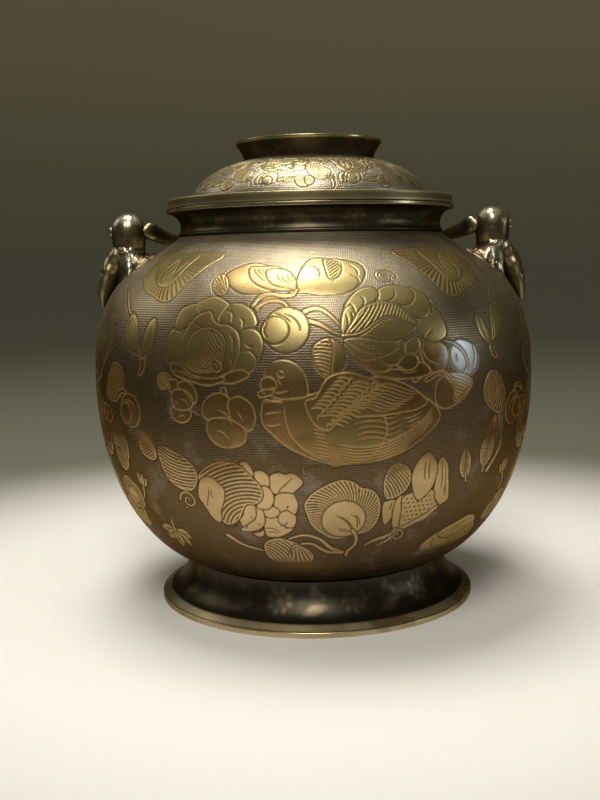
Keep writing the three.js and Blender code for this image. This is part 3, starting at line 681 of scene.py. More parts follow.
# lobes round a stem, each with its own rib
def lobedLeaf(patch):
    for away in (-2, 2, -1, 1, 0):
        facing, reach = 90 + away * 38, 0.95 - 0.09 * abs(away)
        patch.form(leafOutline(reach / 2, 0.21, 0.03, polar(facing, reach / 2), facing, 1.15), 1.2)
        patch.scratch([polar(facing, 0.1), polar(facing, reach * 0.82)], width=0.9)
        for side in (-1, 1):
            patch.scratch([polar(facing, reach * 0.4), polar(facing + side * 8, reach * 0.62),
                           polar(facing + side * 9, reach * 0.76)], width=0.7)
    patch.ribbon([(0, 0.12), (0, -0.45)], 1.6, 0.7, 1.5)


# a tendril that rolls up beside a small round berry
def spiral(patch):
    rolled = 576    # degrees from the stem to the tip
    angle = np.linspace(0, rolled, 40)
    patch.ribbon(polar(angle, 0.95 * (1 - angle / (rolled + 40))), 1.3)
    patch.form(polar(np.arange(0, 360, 24), 0.16, (0.5, -0.75)), 0.8)


# a small round flower of dots and short petals
def rosette(patch):
    for facing in range(0, 360, 45):
        patch.form(leafOutline(0.34, 0.2, 0, polar(facing, 0.66), facing, 1.2), 1.0)
    patch.form(polar(np.arange(0, 360, 20), 0.3), 2.2, dotsOf(0.2))


def smallBud(patch):
    for facing, level in ((118, 1.0), (62, 1.2), (90, 1.6)):
        patch.form(leafOutline(0.5, 0.2, 0.0, polar(facing, 0.42), facing, 0.9), level)
        patch.scratch([polar(facing, 0.2), polar(facing, 0.78)], width=0.8)
    patch.ribbon(flowing([(0, 0.05), (0.06, -0.4), (-0.15, -0.9)]), 1.6, 0.7, 1.4)


# a water bird among the flowers, looking left
def waterBird(patch):
    tail = [(2, 6), (14, 7.6), (24, 6), (33, 1.4), (36.4, -4), (33, -9), (24, -15.4), (12, -19.4),
            (0, -20.6), (-8, -19)]
    patch.petal(tail, 1.2, crown=7)
    trunk = [(-16, 6.4), (-20, 6.4), (-27, 4.2), (-31.6, 4.6), (-33, 0), (-32.4, -4.6), (-28, -9.4),
             (-23, -13.4), (-16, -17.2), (-9, -20), (0, -20.6), (8, -18), (14, -8), (8, 4), (-6, 8)]
    patch.petal(trunk, 1.6, crown=8)
    # rings round the neck, the line of the breast and the short strokes on it
    patch.scratch([(-31.4, 3.6), (-28.4, 4.6), (-24.6, 3.6)], [(-31.6, -0.8), (-29, -0.2), (-25.8, 0)],
                  [(-31, -5), (-28.4, -5.2), (-25.8, -4.4)],
                  [(-24.2, 3), (-24, -3), (-22, -9), (-18, -13.6), (-13.6, -16.8), (-9, -18.8)], width=1.3)
    for i in range(9):
        low = -5.6 - i * 1.45
        patch.scratch([(-14 + i * 0.3, low + 0.6), (-12.4 + i * 0.3, low + 0.2),
                       (-10.4 + i * 0.35, low - 0.6)])
    # long curved lines of the belly and the tail, then the soft feathers above them
    for i in range(6):
        drop = i * 1.25
        patch.scratch([(-5 + i * 0.5, -12.6 - drop), (3, -14 - drop), (12, -13.4 - drop * 0.95),
                       (21, -10 - drop * 0.9), (28.6, -5 - drop * 0.8), (33, -0.6 - drop * 0.7)], width=1.1)
    for i in range(5):
        high = -3 - i * 2.1
        patch.scratch([(1 + i * 0.6, high), (6, high + 0.9), (11, high + 0.6), (15, high - 0.6),
                       (19.4, high + 0.8)],
                      width=0.8)
    for i in range(4):
        patch.scratch([(20 + i * 1.4, -4 - i * 1.6), (24, -3.6 - i * 1.6), (29 - i, -1.6 - i * 1.8)],
                      width=0.8)
    farWing = [(2, 8), (6, 11.6), (12, 12.2), (20, 9.6), (26.6, 6), (30.6, 2), (27, -0.6), (20, -1.6),
               (8, -2.4), (0, -1)]
    patch.petal(farWing, 2.2, crown=7)
    for i in range(9):
        patch.scratch([(1.2 + i * 1.15, 0.6 + i * 1.15), (6.4 + i * 1.2, 1.0 + i * 1.0),
                       (12 + i * 1.35, -0.8 + i * 0.92), (18.6 + i * 1.1, 0.2 + i * 0.62)], width=1.0)
    nearWing = [(-16.4, 4.2), (-13, 5.4), (-11.2, 8), (-9.6, 11), (-7, 13.4), (-3, 14.4), (1, 14.2),
                (6, 12.4), (10.4, 9.8), (6.6, 6), (3, 3.8), (-0.4, 1.2), (-4.4, -3.2), (-8, -7),
                (-12.6, -5.4), (-15.6, -0.6)]
    patch.petal(nearWing, 3.2, crown=6)
    # three rows of short feathers between two scalloped ribs
    rows = (((-14.4, 1.4), (-5, 12.4), 5.0, 9), ((-10.4, -1.6), (0.6, 10.4), 6.6, 10),
            ((-8, -5), (9, 8.6), 5.4, 12))
    for start, end, length, count in rows:
        for share in np.linspace(0, 1, count):
            x = start[0] + (end[0] - start[0]) * share
            y = start[1] + (end[1] - start[1]) * share
            patch.scratch([(x, y), (x + length * 0.5, y + 0.4), (x + length, y - 0.8)], width=1.5)
    for start, end, count in (((-12, -3.4), (1, 12.2), 8), ((-8.6, -6.4), (10, 10), 10)):
        x, y = np.linspace(start[0], end[0], count + 1), np.linspace(start[1], end[1], count + 1)
        for i in range(count):
            patch.scratch([(x[i], y[i]), (x[i] + 0.1, (y[i] + y[i + 1]) / 2 + 0.9), (x[i + 1], y[i + 1])],
                          width=1.3)
    patch.petal([(-31, 15), (-28.4, 18.6), (-24, 19.6), (-19.8, 18.2), (-17, 14.8), (-15.7, 10), (-16, 6.2),
                 (-20, 5.2), (-26, 5), (-30, 7), (-31.6, 10.6)], 3.0, crown=7)
    patch.petal(polar(np.arange(0, 360, 40), 3.0, (-30, 10.4)), 3.6, crown=3)
    patch.petal([(-32.6, 8.2), (-34.2, 6.6), (-32.4, 5.6), (-29, 6.6), (-28.4, 8.6)], 3.2)
    patch.scratch([(-33, 7), (-30.8, 7.4)], [(-29.6, 8.8), (-27.6, 9.2)],
                  [(-29, 7.4), (-25.6, 7.4), (-22.4, 8.2)], [(-26.8, 12.6), (-25.8, 11.4), (-25.6, 10)])
    patch.petal(polar(np.arange(0, 360, 45), 1.3, (-25.2, 14.4)), 3.8, crown=1.5)
    # the water under it
    patch.ribbon(flowing([(-17, -24), (-17.8, -21.6), (-15.6, -20.2), (-11, -20.6)]), 1.0, 0.6, 1.0)


def follow(sheet, rows, points, width):
    angles = [p[0] for p in points]
    alongs = [sheet.atHeight(p[1], rows) for p in points]
    angle, along = float(np.mean(angles)), float(np.mean(alongs))
    radius = float(np.interp(along, sheet.along, sheet.radii))
    local = [(math.radians(a - angle) * radius, s - along) for a, s in zip(angles, alongs)]
    reach = max(np.abs(local).max() + 6, 12)
    patch = Patch(sheet, angle, along, 1.0, reach=reach)
    patch.ribbon(flowing(local), width)
    patch.press()


# how far a motif that is drawn in millimetres reaches from its middle
reaches = {scrollFlower: 37, pendantLeaf: 26, hangingBud: 22, cupPeony: 23, fruitPair: 14, halfLeaf: 10,
           leafPeony: 24, plumpBud: 13, archedLeaf: 14, ballFlower: 26, combedLeaf: 12, shellPeony: 24,
           roundLeaf: 24, curledLeaf: 12, lotusPod: 26, waterBird: 39, broadLeaf: 19}


# A row gives a motif, its angle and height, and then its size, turn and settings if it needs them.
# A negative size mirrors the motif.
def place(sheet, rows, motifs):
    for motif, angle, height, *more in motifs:
        size, turn, *settings = more + [1, 0][len(more):]
        reach = reaches.get(motif, 1.35)
        patch = Patch(sheet, angle, sheet.atHeight(height, rows), abs(size), turn, size < 0, reach)
        motif(patch, *settings)
        patch.press()


# Finishes

class Wire:
    # one output of a node; sums on it add Math nodes
    def __init__(self, finish, socket):
        self.finish = finish
        self.socket = socket

    def maths(self, operation, *values):
        settings = {"operation": operation}
        return self.finish.node("ShaderNodeMath", settings, dict(enumerate(values)))

    def __add__(self, other):
        return self.maths("ADD", self, other)

    def __mul__(self, other):
        return self.maths("MULTIPLY", self, other)

    def __sub__(self, other):
        return self.maths("SUBTRACT", self, other)

    def __rsub__(self, other):
        return self.maths("SUBTRACT", other, self)

    def __truediv__(self, other):
        return self.maths("DIVIDE", self, other)

    def __pow__(self, other):
        return self.maths("POWER", self, other)

    def __mod__(self, other):
        return self.maths("FLOORED_MODULO", self, other)

    __radd__ = __add__
    __rmul__ = __mul__

    # 0 below low, 1 above high, smooth between
    def ease(self, low, high):
        settings = {"interpolation_type": "SMOOTHSTEP"}
        return self.finish.node("ShaderNodeMapRange", settings,
                                {"Value": self, "From Min": low, "From Max": high})


class Finish:
    def __init__(self, name):
        self.material = bpy.data.materials.new(name)
        self.material.use_nodes = True
        self.tree = self.material.node_tree
        self.tree.nodes.clear()

    # adds a node, sets it up, fills its sockets and gives back one of its outputs
    def node(self, kind, settings=None, sockets=None, output=0):
        made = self.tree.nodes.new(kind)
        for key, value in (settings or {}).items():
            setattr(made, key, value)
        for key, value in (sockets or {}).items():
            if isinstance(value, Wire):
                self.tree.links.new(value.socket, made.inputs[key])
            elif isinstance(value, tuple) and len(value) == 3 and made.inputs[key].type == "RGBA":
                made.inputs[key].default_value = value + (1,)
            else:
                made.inputs[key].default_value = value
        return Wire(self, made.outputs[output]) if made.outputs else None

    def amount(self, name):
        return self.node("ShaderNodeAttribute", {"attribute_name": name}, output="Fac")

    def noise(self, place, scale, detail=3.0, roughness=0.55):
        return self.node("ShaderNodeTexNoise", None,
                         {"Vector": place, "Scale": scale, "Detail": detail, "Roughness": roughness})

    def blend(self, share, first, second):
        return self.node("ShaderNodeMix", {"data_type": "RGBA"}, {0: share, 6: first, 7: second}, 2)

    def bump(self, height, distance, strength=1.0, under=None):
        sockets = {"Height": height, "Distance": distance, "Strength": strength}
        if under:
            sockets["Normal"] = under
        return self.node("ShaderNodeBump", None, sockets)


# tarnished ground: paler high up, which is a painted highlight where the top lamp falls, cloudy, with a
# fine bright bloom
def groundTone(finish, look, height, broad, fine):
    tone = look["ground"]
    if height:
        tone = finish.blend(height.ease(*look["rise"]), tone, look["paintedHighlightGround"])
    tone = finish.blend(broad.ease(*look["tarnishCloud"]) * look["tarnishShare"], tone, look["tarnish"])
    return finish.blend(fine.ease(*look["bloomCloud"]) * look["bloomShare"], tone, look["bloom"])


# gilding: its colour changes with height, paler on the shoulder as a painted highlight and paler low down
# as a painted reflection of the floor, so that it stays dark in the middle; it is deep or red in clouds and
# rubbed through in places
def goldTone(finish, look, here, height, broad, fine):
    tone = look["gold"]
    if height:
        tone = finish.blend(height.ease(*look["giltRise"]), tone, look["paintedHighlightGold"])
        tone = finish.blend(height.ease(*look["fall"]), tone, look["paintedFloorReflectionGold"])
    red = finish.noise(here, look["redScale"], 3.0, 0.6)
    tone = finish.blend(broad.ease(*look["deepCloud"]) * look["deepShare"], tone, look["deepGold"])
    tone = finish.blend(red.ease(*look["redCloud"]) * look["redShare"], tone, look["redGold"])
    tone = finish.blend(fine.ease(*look["rubbedCloud"]) * look["rubbedAndSheen"], tone, look["bareSilver"])
    # a painted reflection of a bluish light, on one spot
    if look["paintedSheenSpot"]:
        away = finish.node("ShaderNodeVectorMath", {"operation": "DISTANCE"},
                           {0: here, 1: look["paintedSheenSpot"]}, "Value")
        tone = finish.blend(away.ease(*look["paintedSheenSize"]) * look["paintedSheenShare"], tone, look["paintedSheenTone"])
    return tone


# the cut lines are dark, but in the middle, where the gilding is darkest, they get a bright colour: a
# painted highlight, as if their walls caught the light
def withLines(finish, look, height, line, colour):
    tone, share = look["groove"], look["lineShare"]
    if height:
        bottom, top = look["paintedGlintZone"]
        tone = finish.blend(height.ease(*bottom) * (1 - height.ease(*top)), tone, look["paintedGlintLine"])
        share = share + height.ease(*look["fall"]) * look["lowLines"]
    return finish.blend(line * share, colour, tone)


# old silver: gilt on the ornament, tarnish on the ground, bright where it is handled, and on the bulbs'
# tops a painted highlight
def silverFinish(name, look):
    finish = Finish(name)
    here = finish.node("ShaderNodeTexCoord", output="Object")
    broad = finish.noise(here, look["broadScale"], 4.0, 0.6)
    fine = finish.noise(here, look["fineScale"], 5.0, 0.65)
    specks = finish.noise(here, look["speckScale"], 2.0, 0.5)
    height = None
    if look["rise"]:
        height = finish.node("ShaderNodeSeparateXYZ", None, {0: here}, "Z") + (broad - 0.5) * 0.05
    colour = groundTone(finish, look, height, broad, fine)
    rough = look["groundRough"] + (fine - 0.5) * 0.22
    surface = finish.bump(fine + specks * 0.25, look["pitting"] * mm, 0.55)
    if look["gilded"]:
        gilt = finish.amount("gilt")
        line = finish.amount("line").ease(0.04, 0.72)
        if look["punch"]:
            punches = punchedRows(finish, here, look["punch"]) * (1 - gilt)
            colour = finish.blend(punches * look["punchShare"], colour, look["groove"])
            surface = finish.bump(1 - punches, look["punchDepth"] * mm, 1.0, surface)
        colour = finish.blend(gilt, colour, goldTone(finish, look, here, height, broad, fine))
        colour = withLines(finish, look, height, line, colour)
        rough = rough * (1 - gilt) + (look["goldRough"] + (fine - 0.5) * 0.16) * gilt + line * 0.15
    # brightening of worn places, which on the bulbs is also a painted highlight on their tops
    bright = finish.amount("worn") * (fine * 0.8 + 0.55).ease(0.5, 1.1) * look["worn"]
    colour = finish.blend(bright, colour, look["wornTone"])
    colour = finish.blend(specks.ease(*look["speckCloud"]) * look["specks"], colour, look["groove"])
    shader = finish.node("ShaderNodeBsdfPrincipled", None, {
        "Base Color": colour, "Roughness": rough - bright * 0.14, "Metallic": look["metallic"],
        "Normal": surface, "Specular Tint": look["edgeTint"]})
    finish.node("ShaderNodeOutputMaterial", None, {"Surface": shader})
    return finish.material


# rows of small round punches: 1 in the dips and 0 on the ground between them
def punchedRows(finish, here, pitch):
    alongRow, betweenRows = pitch
    x = finish.node("ShaderNodeSeparateXYZ", None, {0: here}, "X")
    y = finish.node("ShaderNodeSeparateXYZ", None, {0: here}, "Y")
    angle = x.maths("ARCTAN2", x, y)
    row = finish.amount("along") / betweenRows
    shift = (row - row % 1.0) * 0.37    # each row starts a little further on than the one below
    sector = math.radians(7.5)          # the count of punches changes from sector to sector
    across = (angle % sector) * (x * x + y * y) ** 0.5 / (alongRow * mm) + shift
    u = (across % 1.0 - 0.5) * 0.75
    v = row % 1.0 - 0.5
    return 1 - (u * u + v * v).ease(0.02, 0.16)


def setFinish(piece, material, body, node):
    piece.data.materials.append(material)
    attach(piece, body)
    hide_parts(node)


# Body

bodyShape = {
    "footTop": (58.7, 20.0),
    "belly": (97.6, 100.0),
    "neck": (58.0, 162.7),
    "baseHeight": 11.0,
    "wall": 1.15,
    "mouth": 56.5,
    "footSlope": 0.346,
    "shoulderSlope": 0.84,
    "pulls": (0.575, 0.492, 0.755, 0.5),
    "chased": [33, 36, 157.5, 159],    # heights between which the ornament starts and ends
    "stem": 2.2,
    "columns": 1600,
}

bodyLook = {
    "ground": (0.165, 0.115, 0.058),
    # the ground's paler colour high on the shoulder is a painted highlight
    "paintedHighlightGround": (0.53, 0.46, 0.32),
    "tarnish": (0.125, 0.084, 0.046),
    "bloom": (0.36, 0.30, 0.22),
    "gold": (0.21, 0.122, 0.045),
    # pale gilding low down: a painted reflection of the floor
    "paintedFloorReflectionGold": (0.56, 0.39, 0.20),
    # pale gilding high up: a painted highlight
    "paintedHighlightGold": (0.46, 0.375, 0.165),
    "deepGold": (0.30, 0.222, 0.09),
    "redGold": (0.40, 0.225, 0.10),
    "bareSilver": (0.52, 0.48, 0.41),
    "groove": (0.020, 0.013, 0.007),
    # bright colour of the lines in the middle: a painted highlight
    "paintedGlintLine": (0.58, 0.37, 0.15),
    "wornTone": (0.6, 0.5, 0.30),
    "edgeTint": (0.42, 0.36, 0.28),
    "gilded": True,
    # heights in metres between which one tone gives way to the next
    "rise": (0.096, 0.150),
    "giltRise": (0.108, 0.124),
    "fall": (0.079, 0.070),
    # the band of heights where the lines get their painted highlight
    "paintedGlintZone": ((0.076, 0.086), (0.110, 0.120)),
    # scale of each noise, the part of it that shows, and how strongly
    "broadScale": 16,
    "fineScale": 70,
    "redScale": 42,
    "speckScale": 900,
    "tarnishCloud": (0.38, 0.68),
    "tarnishShare": 0.85,
    "bloomCloud": (0.52, 0.74),
    "bloomShare": 0.5,
    "deepCloud": (0.4, 0.68),
    "deepShare": 0.7,
    "redCloud": (0.50, 0.68),
    "redShare": 0.65,
    "rubbedCloud": (0.56, 0.78),
    "rubbedAndSheen": 0.3,
    "speckCloud": (0.62, 0.72),
    "specks": 0.25,
    "worn": 0.5,
    "lineShare": 0.58,
    "lowLines": 0.13,        # how much darker the lines are where the gilding is palest
    # one bud on the right gets a pale bluish patch: a painted reflection of a bluish light
    "paintedSheenSpot": (0.0575, -0.0763, 0.1136),
    "paintedSheenSize": (0.0135, 0.0075),
    "paintedSheenShare": 0.85,
    "paintedSheenTone": (0.40, 0.43, 0.44),
    "groundRough": 0.37,
    "goldRough": 0.34,
    "metallic": 0.95,
    "pitting": 0.10,
    "punch": (0.72, 0.98),   # along a row, and from row to row
    "punchDepth": 0.05,
    "punchShare": 0.42,
}


def bodyOutline(shape):
    (footR, footZ), (bellyR, bellyZ), (neckR, neckZ) = shape["footTop"], shape["belly"], shape["neck"]
    foot, under, over, neck = shape["pulls"]
    slope, shoulder = shape["footSlope"], shape["shoulderSlope"]
    knee = footR - (footZ - shape["baseHeight"]) / slope
    lowerReach = (bellyR - footR) * foot
    upperReach = (bellyR - neckR) * neck
    base = bezier([(0, shape["baseHeight"]), (knee, shape["baseHeight"]), (footR, footZ)])
    lower = bezier([(footR, footZ), (footR + lowerReach, footZ + lowerReach * slope),
                    (bellyR, bellyZ - (bellyZ - footZ) * under), (bellyR, bellyZ)], 200)
    upper = bezier([(bellyR, bellyZ), (bellyR, bellyZ + (neckZ - bellyZ) * over),
                    (neckR + upperReach, neckZ - upperReach * shoulder), (neckR, neckZ)], 200)
    return base, np.vstack([lower, upper[1:]])


bodyBase, bodySide = bodyOutline(bodyShape)

# stems first, each as points of degrees and height, then the motifs from back to front
frontStems = [
    [(-1.6, 132.6), (0.4, 133.6), (2.4, 133.2), (4.6, 130.6), (7, 126.4)],
    [(-0.6, 129), (1.8, 127.8), (4.2, 125.4), (6.6, 123.6), (10, 123.6)],
    [(-13, 133.6), (-11.4, 136.8), (-8.6, 137.9), (-6, 138.4), (-4.4, 140)],
    [(2.4, 111.4), (1.2, 113.6), (2, 116)],
    [(7, 38.4), (4, 40.2), (1, 44.6), (-3, 46.6), (-7, 45)],
    [(7, 38), (3, 38.6), (-1, 42.4), (-4, 42.6)],
    [(-20, 104), (-19.4, 99), (-20.4, 96)],
    [(23, 106.6), (27, 110.4), (30, 108.6)],
    [(-24, 45), (-20, 41), (-15, 39)],
    [(-61, 142), (-56, 137), (-52, 132), (-49, 130)],
    [(56, 141), (52, 136), (49.6, 130)],
    [(48, 66), (52, 76), (50, 88), (46, 96)],
]

# stems of the right side, in degrees and millimetres of height; the left side mirrors them
sideStems = [
    [(77, 104), (80, 108.6), (85, 110), (88, 106)],
    [(96, 128), (99, 131), (103, 129.6), (105, 126)],
    [(104, 101), (107, 97.6), (111, 97), (114, 92)],
    [(70, 71), (71, 66.6), (74, 63), (77, 61)],
    [(86, 46), (83, 42.6), (79, 43), (76, 46)],
    [(106, 46), (101, 41.4), (95, 40.6), (91, 43)],
    [(62, 118), (66, 123.6), (70, 124)],
    [(124, 118), (128, 122.6), (131, 119)],
    [(120, 73), (124, 70), (129, 72)],
]

frontMotifs = [
    (scrollFlower, -3, 143.5),
    (pendantLeaf, -44, 140, -1),
    (pendantLeaf, 42, 140),
    (spiral, 19.4, 144.5, 4.4),
    (hangingBud, -47, 112),
    (cupPeony, -23.5, 121.5),
    (fruitPair, -6, 126.2),
    (halfLeaf, 3.4, 117, 1.1),
    (leafPeony, 19.8, 122.5),
    (plumpBud, 37, 113.6),
    (archedLeaf, 33, 103),
    (hangingBud, 50, 116, -0.85, 10),
    (ballFlower, -27, 90),
    (combedLeaf, -34, 72),
    (combedLeaf, -56, 104, 0.9, 80),
    (curledLeaf, -57, 76, -1, 60),
    (spiral, -33, 59, -4.4),
    (shellPeony, -15.8, 61.5),
    (roundLeaf, 6.4, 56),
    (curledLeaf, -7.4, 38.4),
    (lotusPod, 27, 60),
    (waterBird, 8, 96),
    (broadLeaf, 43, 43),
    (lobedLeaf, -43, 44, 12, 170),
    (hatchedLeaf, 47, 78, 11, 80),
    (hatchedLeaf, -60, 120, 9, 60),
    (fruitPair, -49, 93, 0.8, 20),
    (halfLeaf, -44, 80, 0.9, 40),
    (smallBud, -50, 61, 8, -20),
    (roundLeaf, -58, 56, 0.6),
    (curledLeaf, 48, 98, 0.9, -30),
    (fruitPair, 57, 90, -0.8),
    (hatchedLeaf, 39, 72, 8, 100),
    (smallBud, 58, 62, 9, 20),
    (spiral, -36, 106, 3.6, 30),
    (spiral, 22, 44, -3.6),
]


# the same kinds of motif round the sides and the back, spaced as on the front
sideMotifs = []
for side in (-1, 1):
    sideMotifs += [
        (pendantLeaf, side * 135, 140, side),
        (scrollFlower, side * 90, 138, side * -0.72),
        (cupPeony, side * 74, 117, side * -0.85, side * 24),
        (halfLeaf, side * 91, 113, side * -1.2, side * 20),
        (leafPeony, side * 112, 118, side * -0.95, side * -16),
        (fruitPair, side * 93, 126, side * -0.8),
        (shellPeony, side * 70, 86, side * -0.85, side * 12),
        (ballFlower, side * 98, 90, side * -0.9, side * -10),
        (combedLeaf, side * 117, 86, side * -1, side * 40),
        (roundLeaf, side * 76, 56, side * -0.95),
        (leafPeony, side * 100, 59, side * -0.8, side * 120),
        (curledLeaf, side * 61, 47, side * -0.9, side * 10),
        (broadLeaf, side * 88, 39, side * -0.7),
        (hatchedLeaf, side * 118, 60, 12, side * 70),
        (smallBud, side * 110, 44, 9, side * 40),
        (spiral, side * 84, 100, side * -5),
    ]

backMotifs = [
    (scrollFlower, 180, 143.5),
    (cupPeony, 157, 121),
    (leafPeony, -160, 122, -1),
    (fruitPair, 177, 126, -1),
    (halfLeaf, -172, 117, 1.1),
    (hangingBud, 133, 112, 0.95),
    (plumpBud, -137, 113),
    (archedLeaf, -141, 101),
    (ballFlower, 150, 90),
    (waterBird, -173, 94, -1),
    (shellPeony, 160, 61),
    (roundLeaf, -177, 56, -1),
    (lotusPod, -153, 60, -1),
    (curledLeaf, 173, 38.4),
    (combedLeaf, 138, 62, 1, 30),
    (broadLeaf, -132, 44),
    (combedLeaf, -130, 78, 0.9, 80),
    (broadLeaf, 137, 40, -0.8),
]

def makeBody(shape):
    base, outer = evenly(bodyBase, 3), evenly(bodySide, chasing["cell"] / fineness)
    rim = evenly([shape["neck"], (shape["mouth"], shape["neck"][1])], 0.75)
    inner = beside(np.vstack([bodyBase, bodySide[1:]]), -shape["wall"])
    inner = inner[inner[:, 1] < shape["neck"][1]][::-1]
    inner[-1, 0] = 0
    section = joinRuns([base, outer, rim, evenly(inner, 3)])
    section[0, 0] = 0
    rows = np.arange(len(base) - 1, len(base) - 1 + len(outer))
    sheet = Sheet(section, int(shape["columns"] * fineness))
    stems = frontStems + [[(180 - a, z) for a, z in stem] for stem in frontStems]
    stems += [[(side * a, z) for a, z in stem] for stem in sideStems for side in (-1, 1)]
    for stem in stems:
        follow(sheet, rows, stem, shape["stem"])
    place(sheet, rows, sideMotifs + backMotifs + frontMotifs)
    outside = np.zeros(len(section))
    outside[rows] = 1
    # plain bands stay above the foot and below the neck
    sheet.keepOnly(outside * np.interp(section[:, 1], shape["chased"], [0, 1, 1, 0]))
    unchased = 0.25    # one place along the outline stands for all that is not chased
    amounts = {
        "gilt": sheet.gilt,
        "line": sheet.line,
        "worn": sheet.allRound(edgeWear(section)),
        "along": sheet.allRound(np.where(outside > 0, sheet.along, unchased)),
    }
    return gridSkin("chased_body", sheet.skin(), amounts=amounts)


print("stage: body")
setFinish(makeBody(bodyShape), silverFinish("tarnished silver, gilt flowers", bodyLook), "jar",
          "body_shell")


# Foot ring

footShape = {
    "radius": 71.5, "edge": 1.8, "bevel": 0.5, "arris": 0.25, "edgeWidth": 2.2,
    "brim": (67.8, 4.4), "flare": [(63.7, 5.8), (59.1, 11.2)], "top": (58.7, 19.7),
    "wall": 1.8, "seatStep": 0.62, "columns": 960,
    "relief": 0.06, "lines": 0.2,    # what wear has left of them
}

darkLook = {
    **bodyLook,
    "ground": (0.085, 0.072, 0.048),
    "tarnish": (0.036, 0.031, 0.022),
    "bloom": (0.17, 0.13, 0.075),
    "bloomShare": 0.5,
    "gold": (0.20, 0.16, 0.075),
    "deepGold": (0.10, 0.08, 0.04),
    "redGold": (0.16, 0.09, 0.04),
    "wornTone": (0.58, 0.48, 0.27),
    "rise": None,
    "paintedSheenSpot": None,
    "worn": 0.85,
    "groundRough": 0.36,
    "goldRough": 0.36,
    "punch": 0,
    "broadScale": 24,
}


# a mask blurred over a few cells each way
def softened(mask, cells):
    for _ in range(cells):
        mask = (mask + np.roll(mask, 1, 0) + np.roll(mask, -1, 0)) / 3
        mask = (mask + np.roll(mask, 1, 1) + np.roll(mask, -1, 1)) / 3
    return mask


def footOutline(shape):
    gap = 0.5 / fineness
    out, edge, bevel, arris = shape["radius"], shape["edge"], shape["bevel"], shape["arris"]
    inside = out - shape["edgeWidth"]
    flare = bezier([shape["brim"], *shape["flare"], shape["top"]])
    inner = beside(flare, -shape["wall"])[::-1]
    inner[0, 1] = shape["top"][1] - shape["seatStep"]
    return joinRuns([
        evenly([(inside, 0), (out - arris, 0)], 0.5),
        rounded((out - arris, 0), (out, 0), (out, arris), 0.1),
        evenly([(out, arris), (out, edge)], gap),
        rounded((out, edge), (out, edge + bevel), (out - bevel, edge + bevel), 0.12, 6),
        evenly([(out - bevel, edge + bevel), shape["brim"]], gap),
        evenly(flare, gap),
        evenly(inner, 1.0),
        evenly([inner[-1], (inside, edge - bevel)], 0.8),
    ])


def makeFoot(shape):
    section = footOutline(shape)
    sheet = Sheet(section, int(shape["columns"] * fineness))
    brimR, brimZ = shape["brim"]
    outside = sideways(section)[:, 0] > 0
    rows = np.nonzero((section[:, 1] > brimZ) & outside & (section[:, 0] < brimR))[0]
    motifs = []
    for i in range(12):
        angle = i * 30 - 165
        motifs += [(rosette, angle, 11.5, 6.2, 15 * i), (hatchedLeaf, angle + 15, 8.6, 5.4, 20, 8),
                   (smallBud, angle + 15, 15.0, 4.0, 60)]
    place(sheet, rows, motifs)
    sheet.lift *= shape["relief"]
    sheet.line *= shape["lines"]
    around = roundAngles(sheet.columns)
    # little gilding is left on the flare, and more of it on some flowers than on others
    left = 0.11 + 0.06 * np.sin(2 * around + 0.6) + 0.04 * np.sin(7 * around)
    # the brim is pale at the front, unevenly, and dark towards its sides: a painted reflection of the light
    # from above
    rubbedAndSheen = 0.42 - 0.62 * np.cos(around) + 0.16 * np.sin(5 * around + 1) + 0.10 * np.sin(13 * around)
    brim = (section[:, 1] < brimZ + 0.1) & (section[:, 1] > 0.05) & (section[:, 0] > brimR - 0.2)
    gilt = np.where(brim[:, None], np.clip(rubbedAndSheen, 0.12, 1), softened(sheet.gilt, 2) * left)
    wear = edgeWear(section) * (section[:, 1] < brimZ + 1)
    amounts = {"gilt": gilt, "line": sheet.line, "worn": sheet.allRound(wear)}
    return gridSkin("foot_flare", sheet.skin(), ring=True, amounts=amounts)


print("stage: foot")
footLook = {**darkLook, "ground": (0.05, 0.043, 0.03), "bloomShare": 0.25, "gold": (0.66, 0.56, 0.36),
            "deepGold": (0.36, 0.30, 0.17)}
setFinish(makeFoot(footShape), silverFinish("blackened silver foot", footLook), "jar", "foot_ring")


# Neck

neckShape = {
    "bottom": 162.7, "radius": 58.0, "bead": 0.9, "beadHeight": 1.3, "height": 11.5,
    "wall": 1.5, "lip": 64.0, "columns": 960,
    "relief": 0.12, "lines": 0.25, "gilt": 0.6,    # what wear has left of them
}


def neckOutline(shape):
    low, top = shape["bottom"], shape["bottom"] + shape["height"]
    r, lip, wall = shape["radius"], shape["lip"], shape["wall"]
    side = bezier([(r + shape["bead"] / 2, low + shape["beadHeight"]),
                   (r - 1.4, low + shape["height"] * 0.42),
                   (r + 1.2, top - wall * 1.2), (lip - 0.3, top - wall)])
    bore = beside(side, -wall)[::-1]
    bore[0] = (r + (lip - r) * 0.42, top)
    bead = bezier([(r + 0.4, low), (r + 1.2, low), (r + 1.1, low + 1.1), (side[0, 0], side[0, 1])], 12)
    return joinRuns([
        evenly([(bodyShape["mouth"], low), (r + 0.4, low)], 0.6),
        evenly(bead, 0.2),
        evenly(side, 0.5 / fineness),
        rounded((lip - 0.3, top - wall), (lip, top - wall), (lip, top - wall * 0.6), 0.12, 6),
        evenly([(lip, top - wall * 0.6), (lip, top - 0.15)], 0.3),
        rounded((lip, top - 0.15), (lip, top), (lip - 0.2, top), 0.1),
        evenly([(lip - 0.2, top), bore[0]], 0.7),
        evenly(bore, 0.9),
        evenly([bore[-1], (bodyShape["mouth"], low)], 0.5)[:-1],
    ])


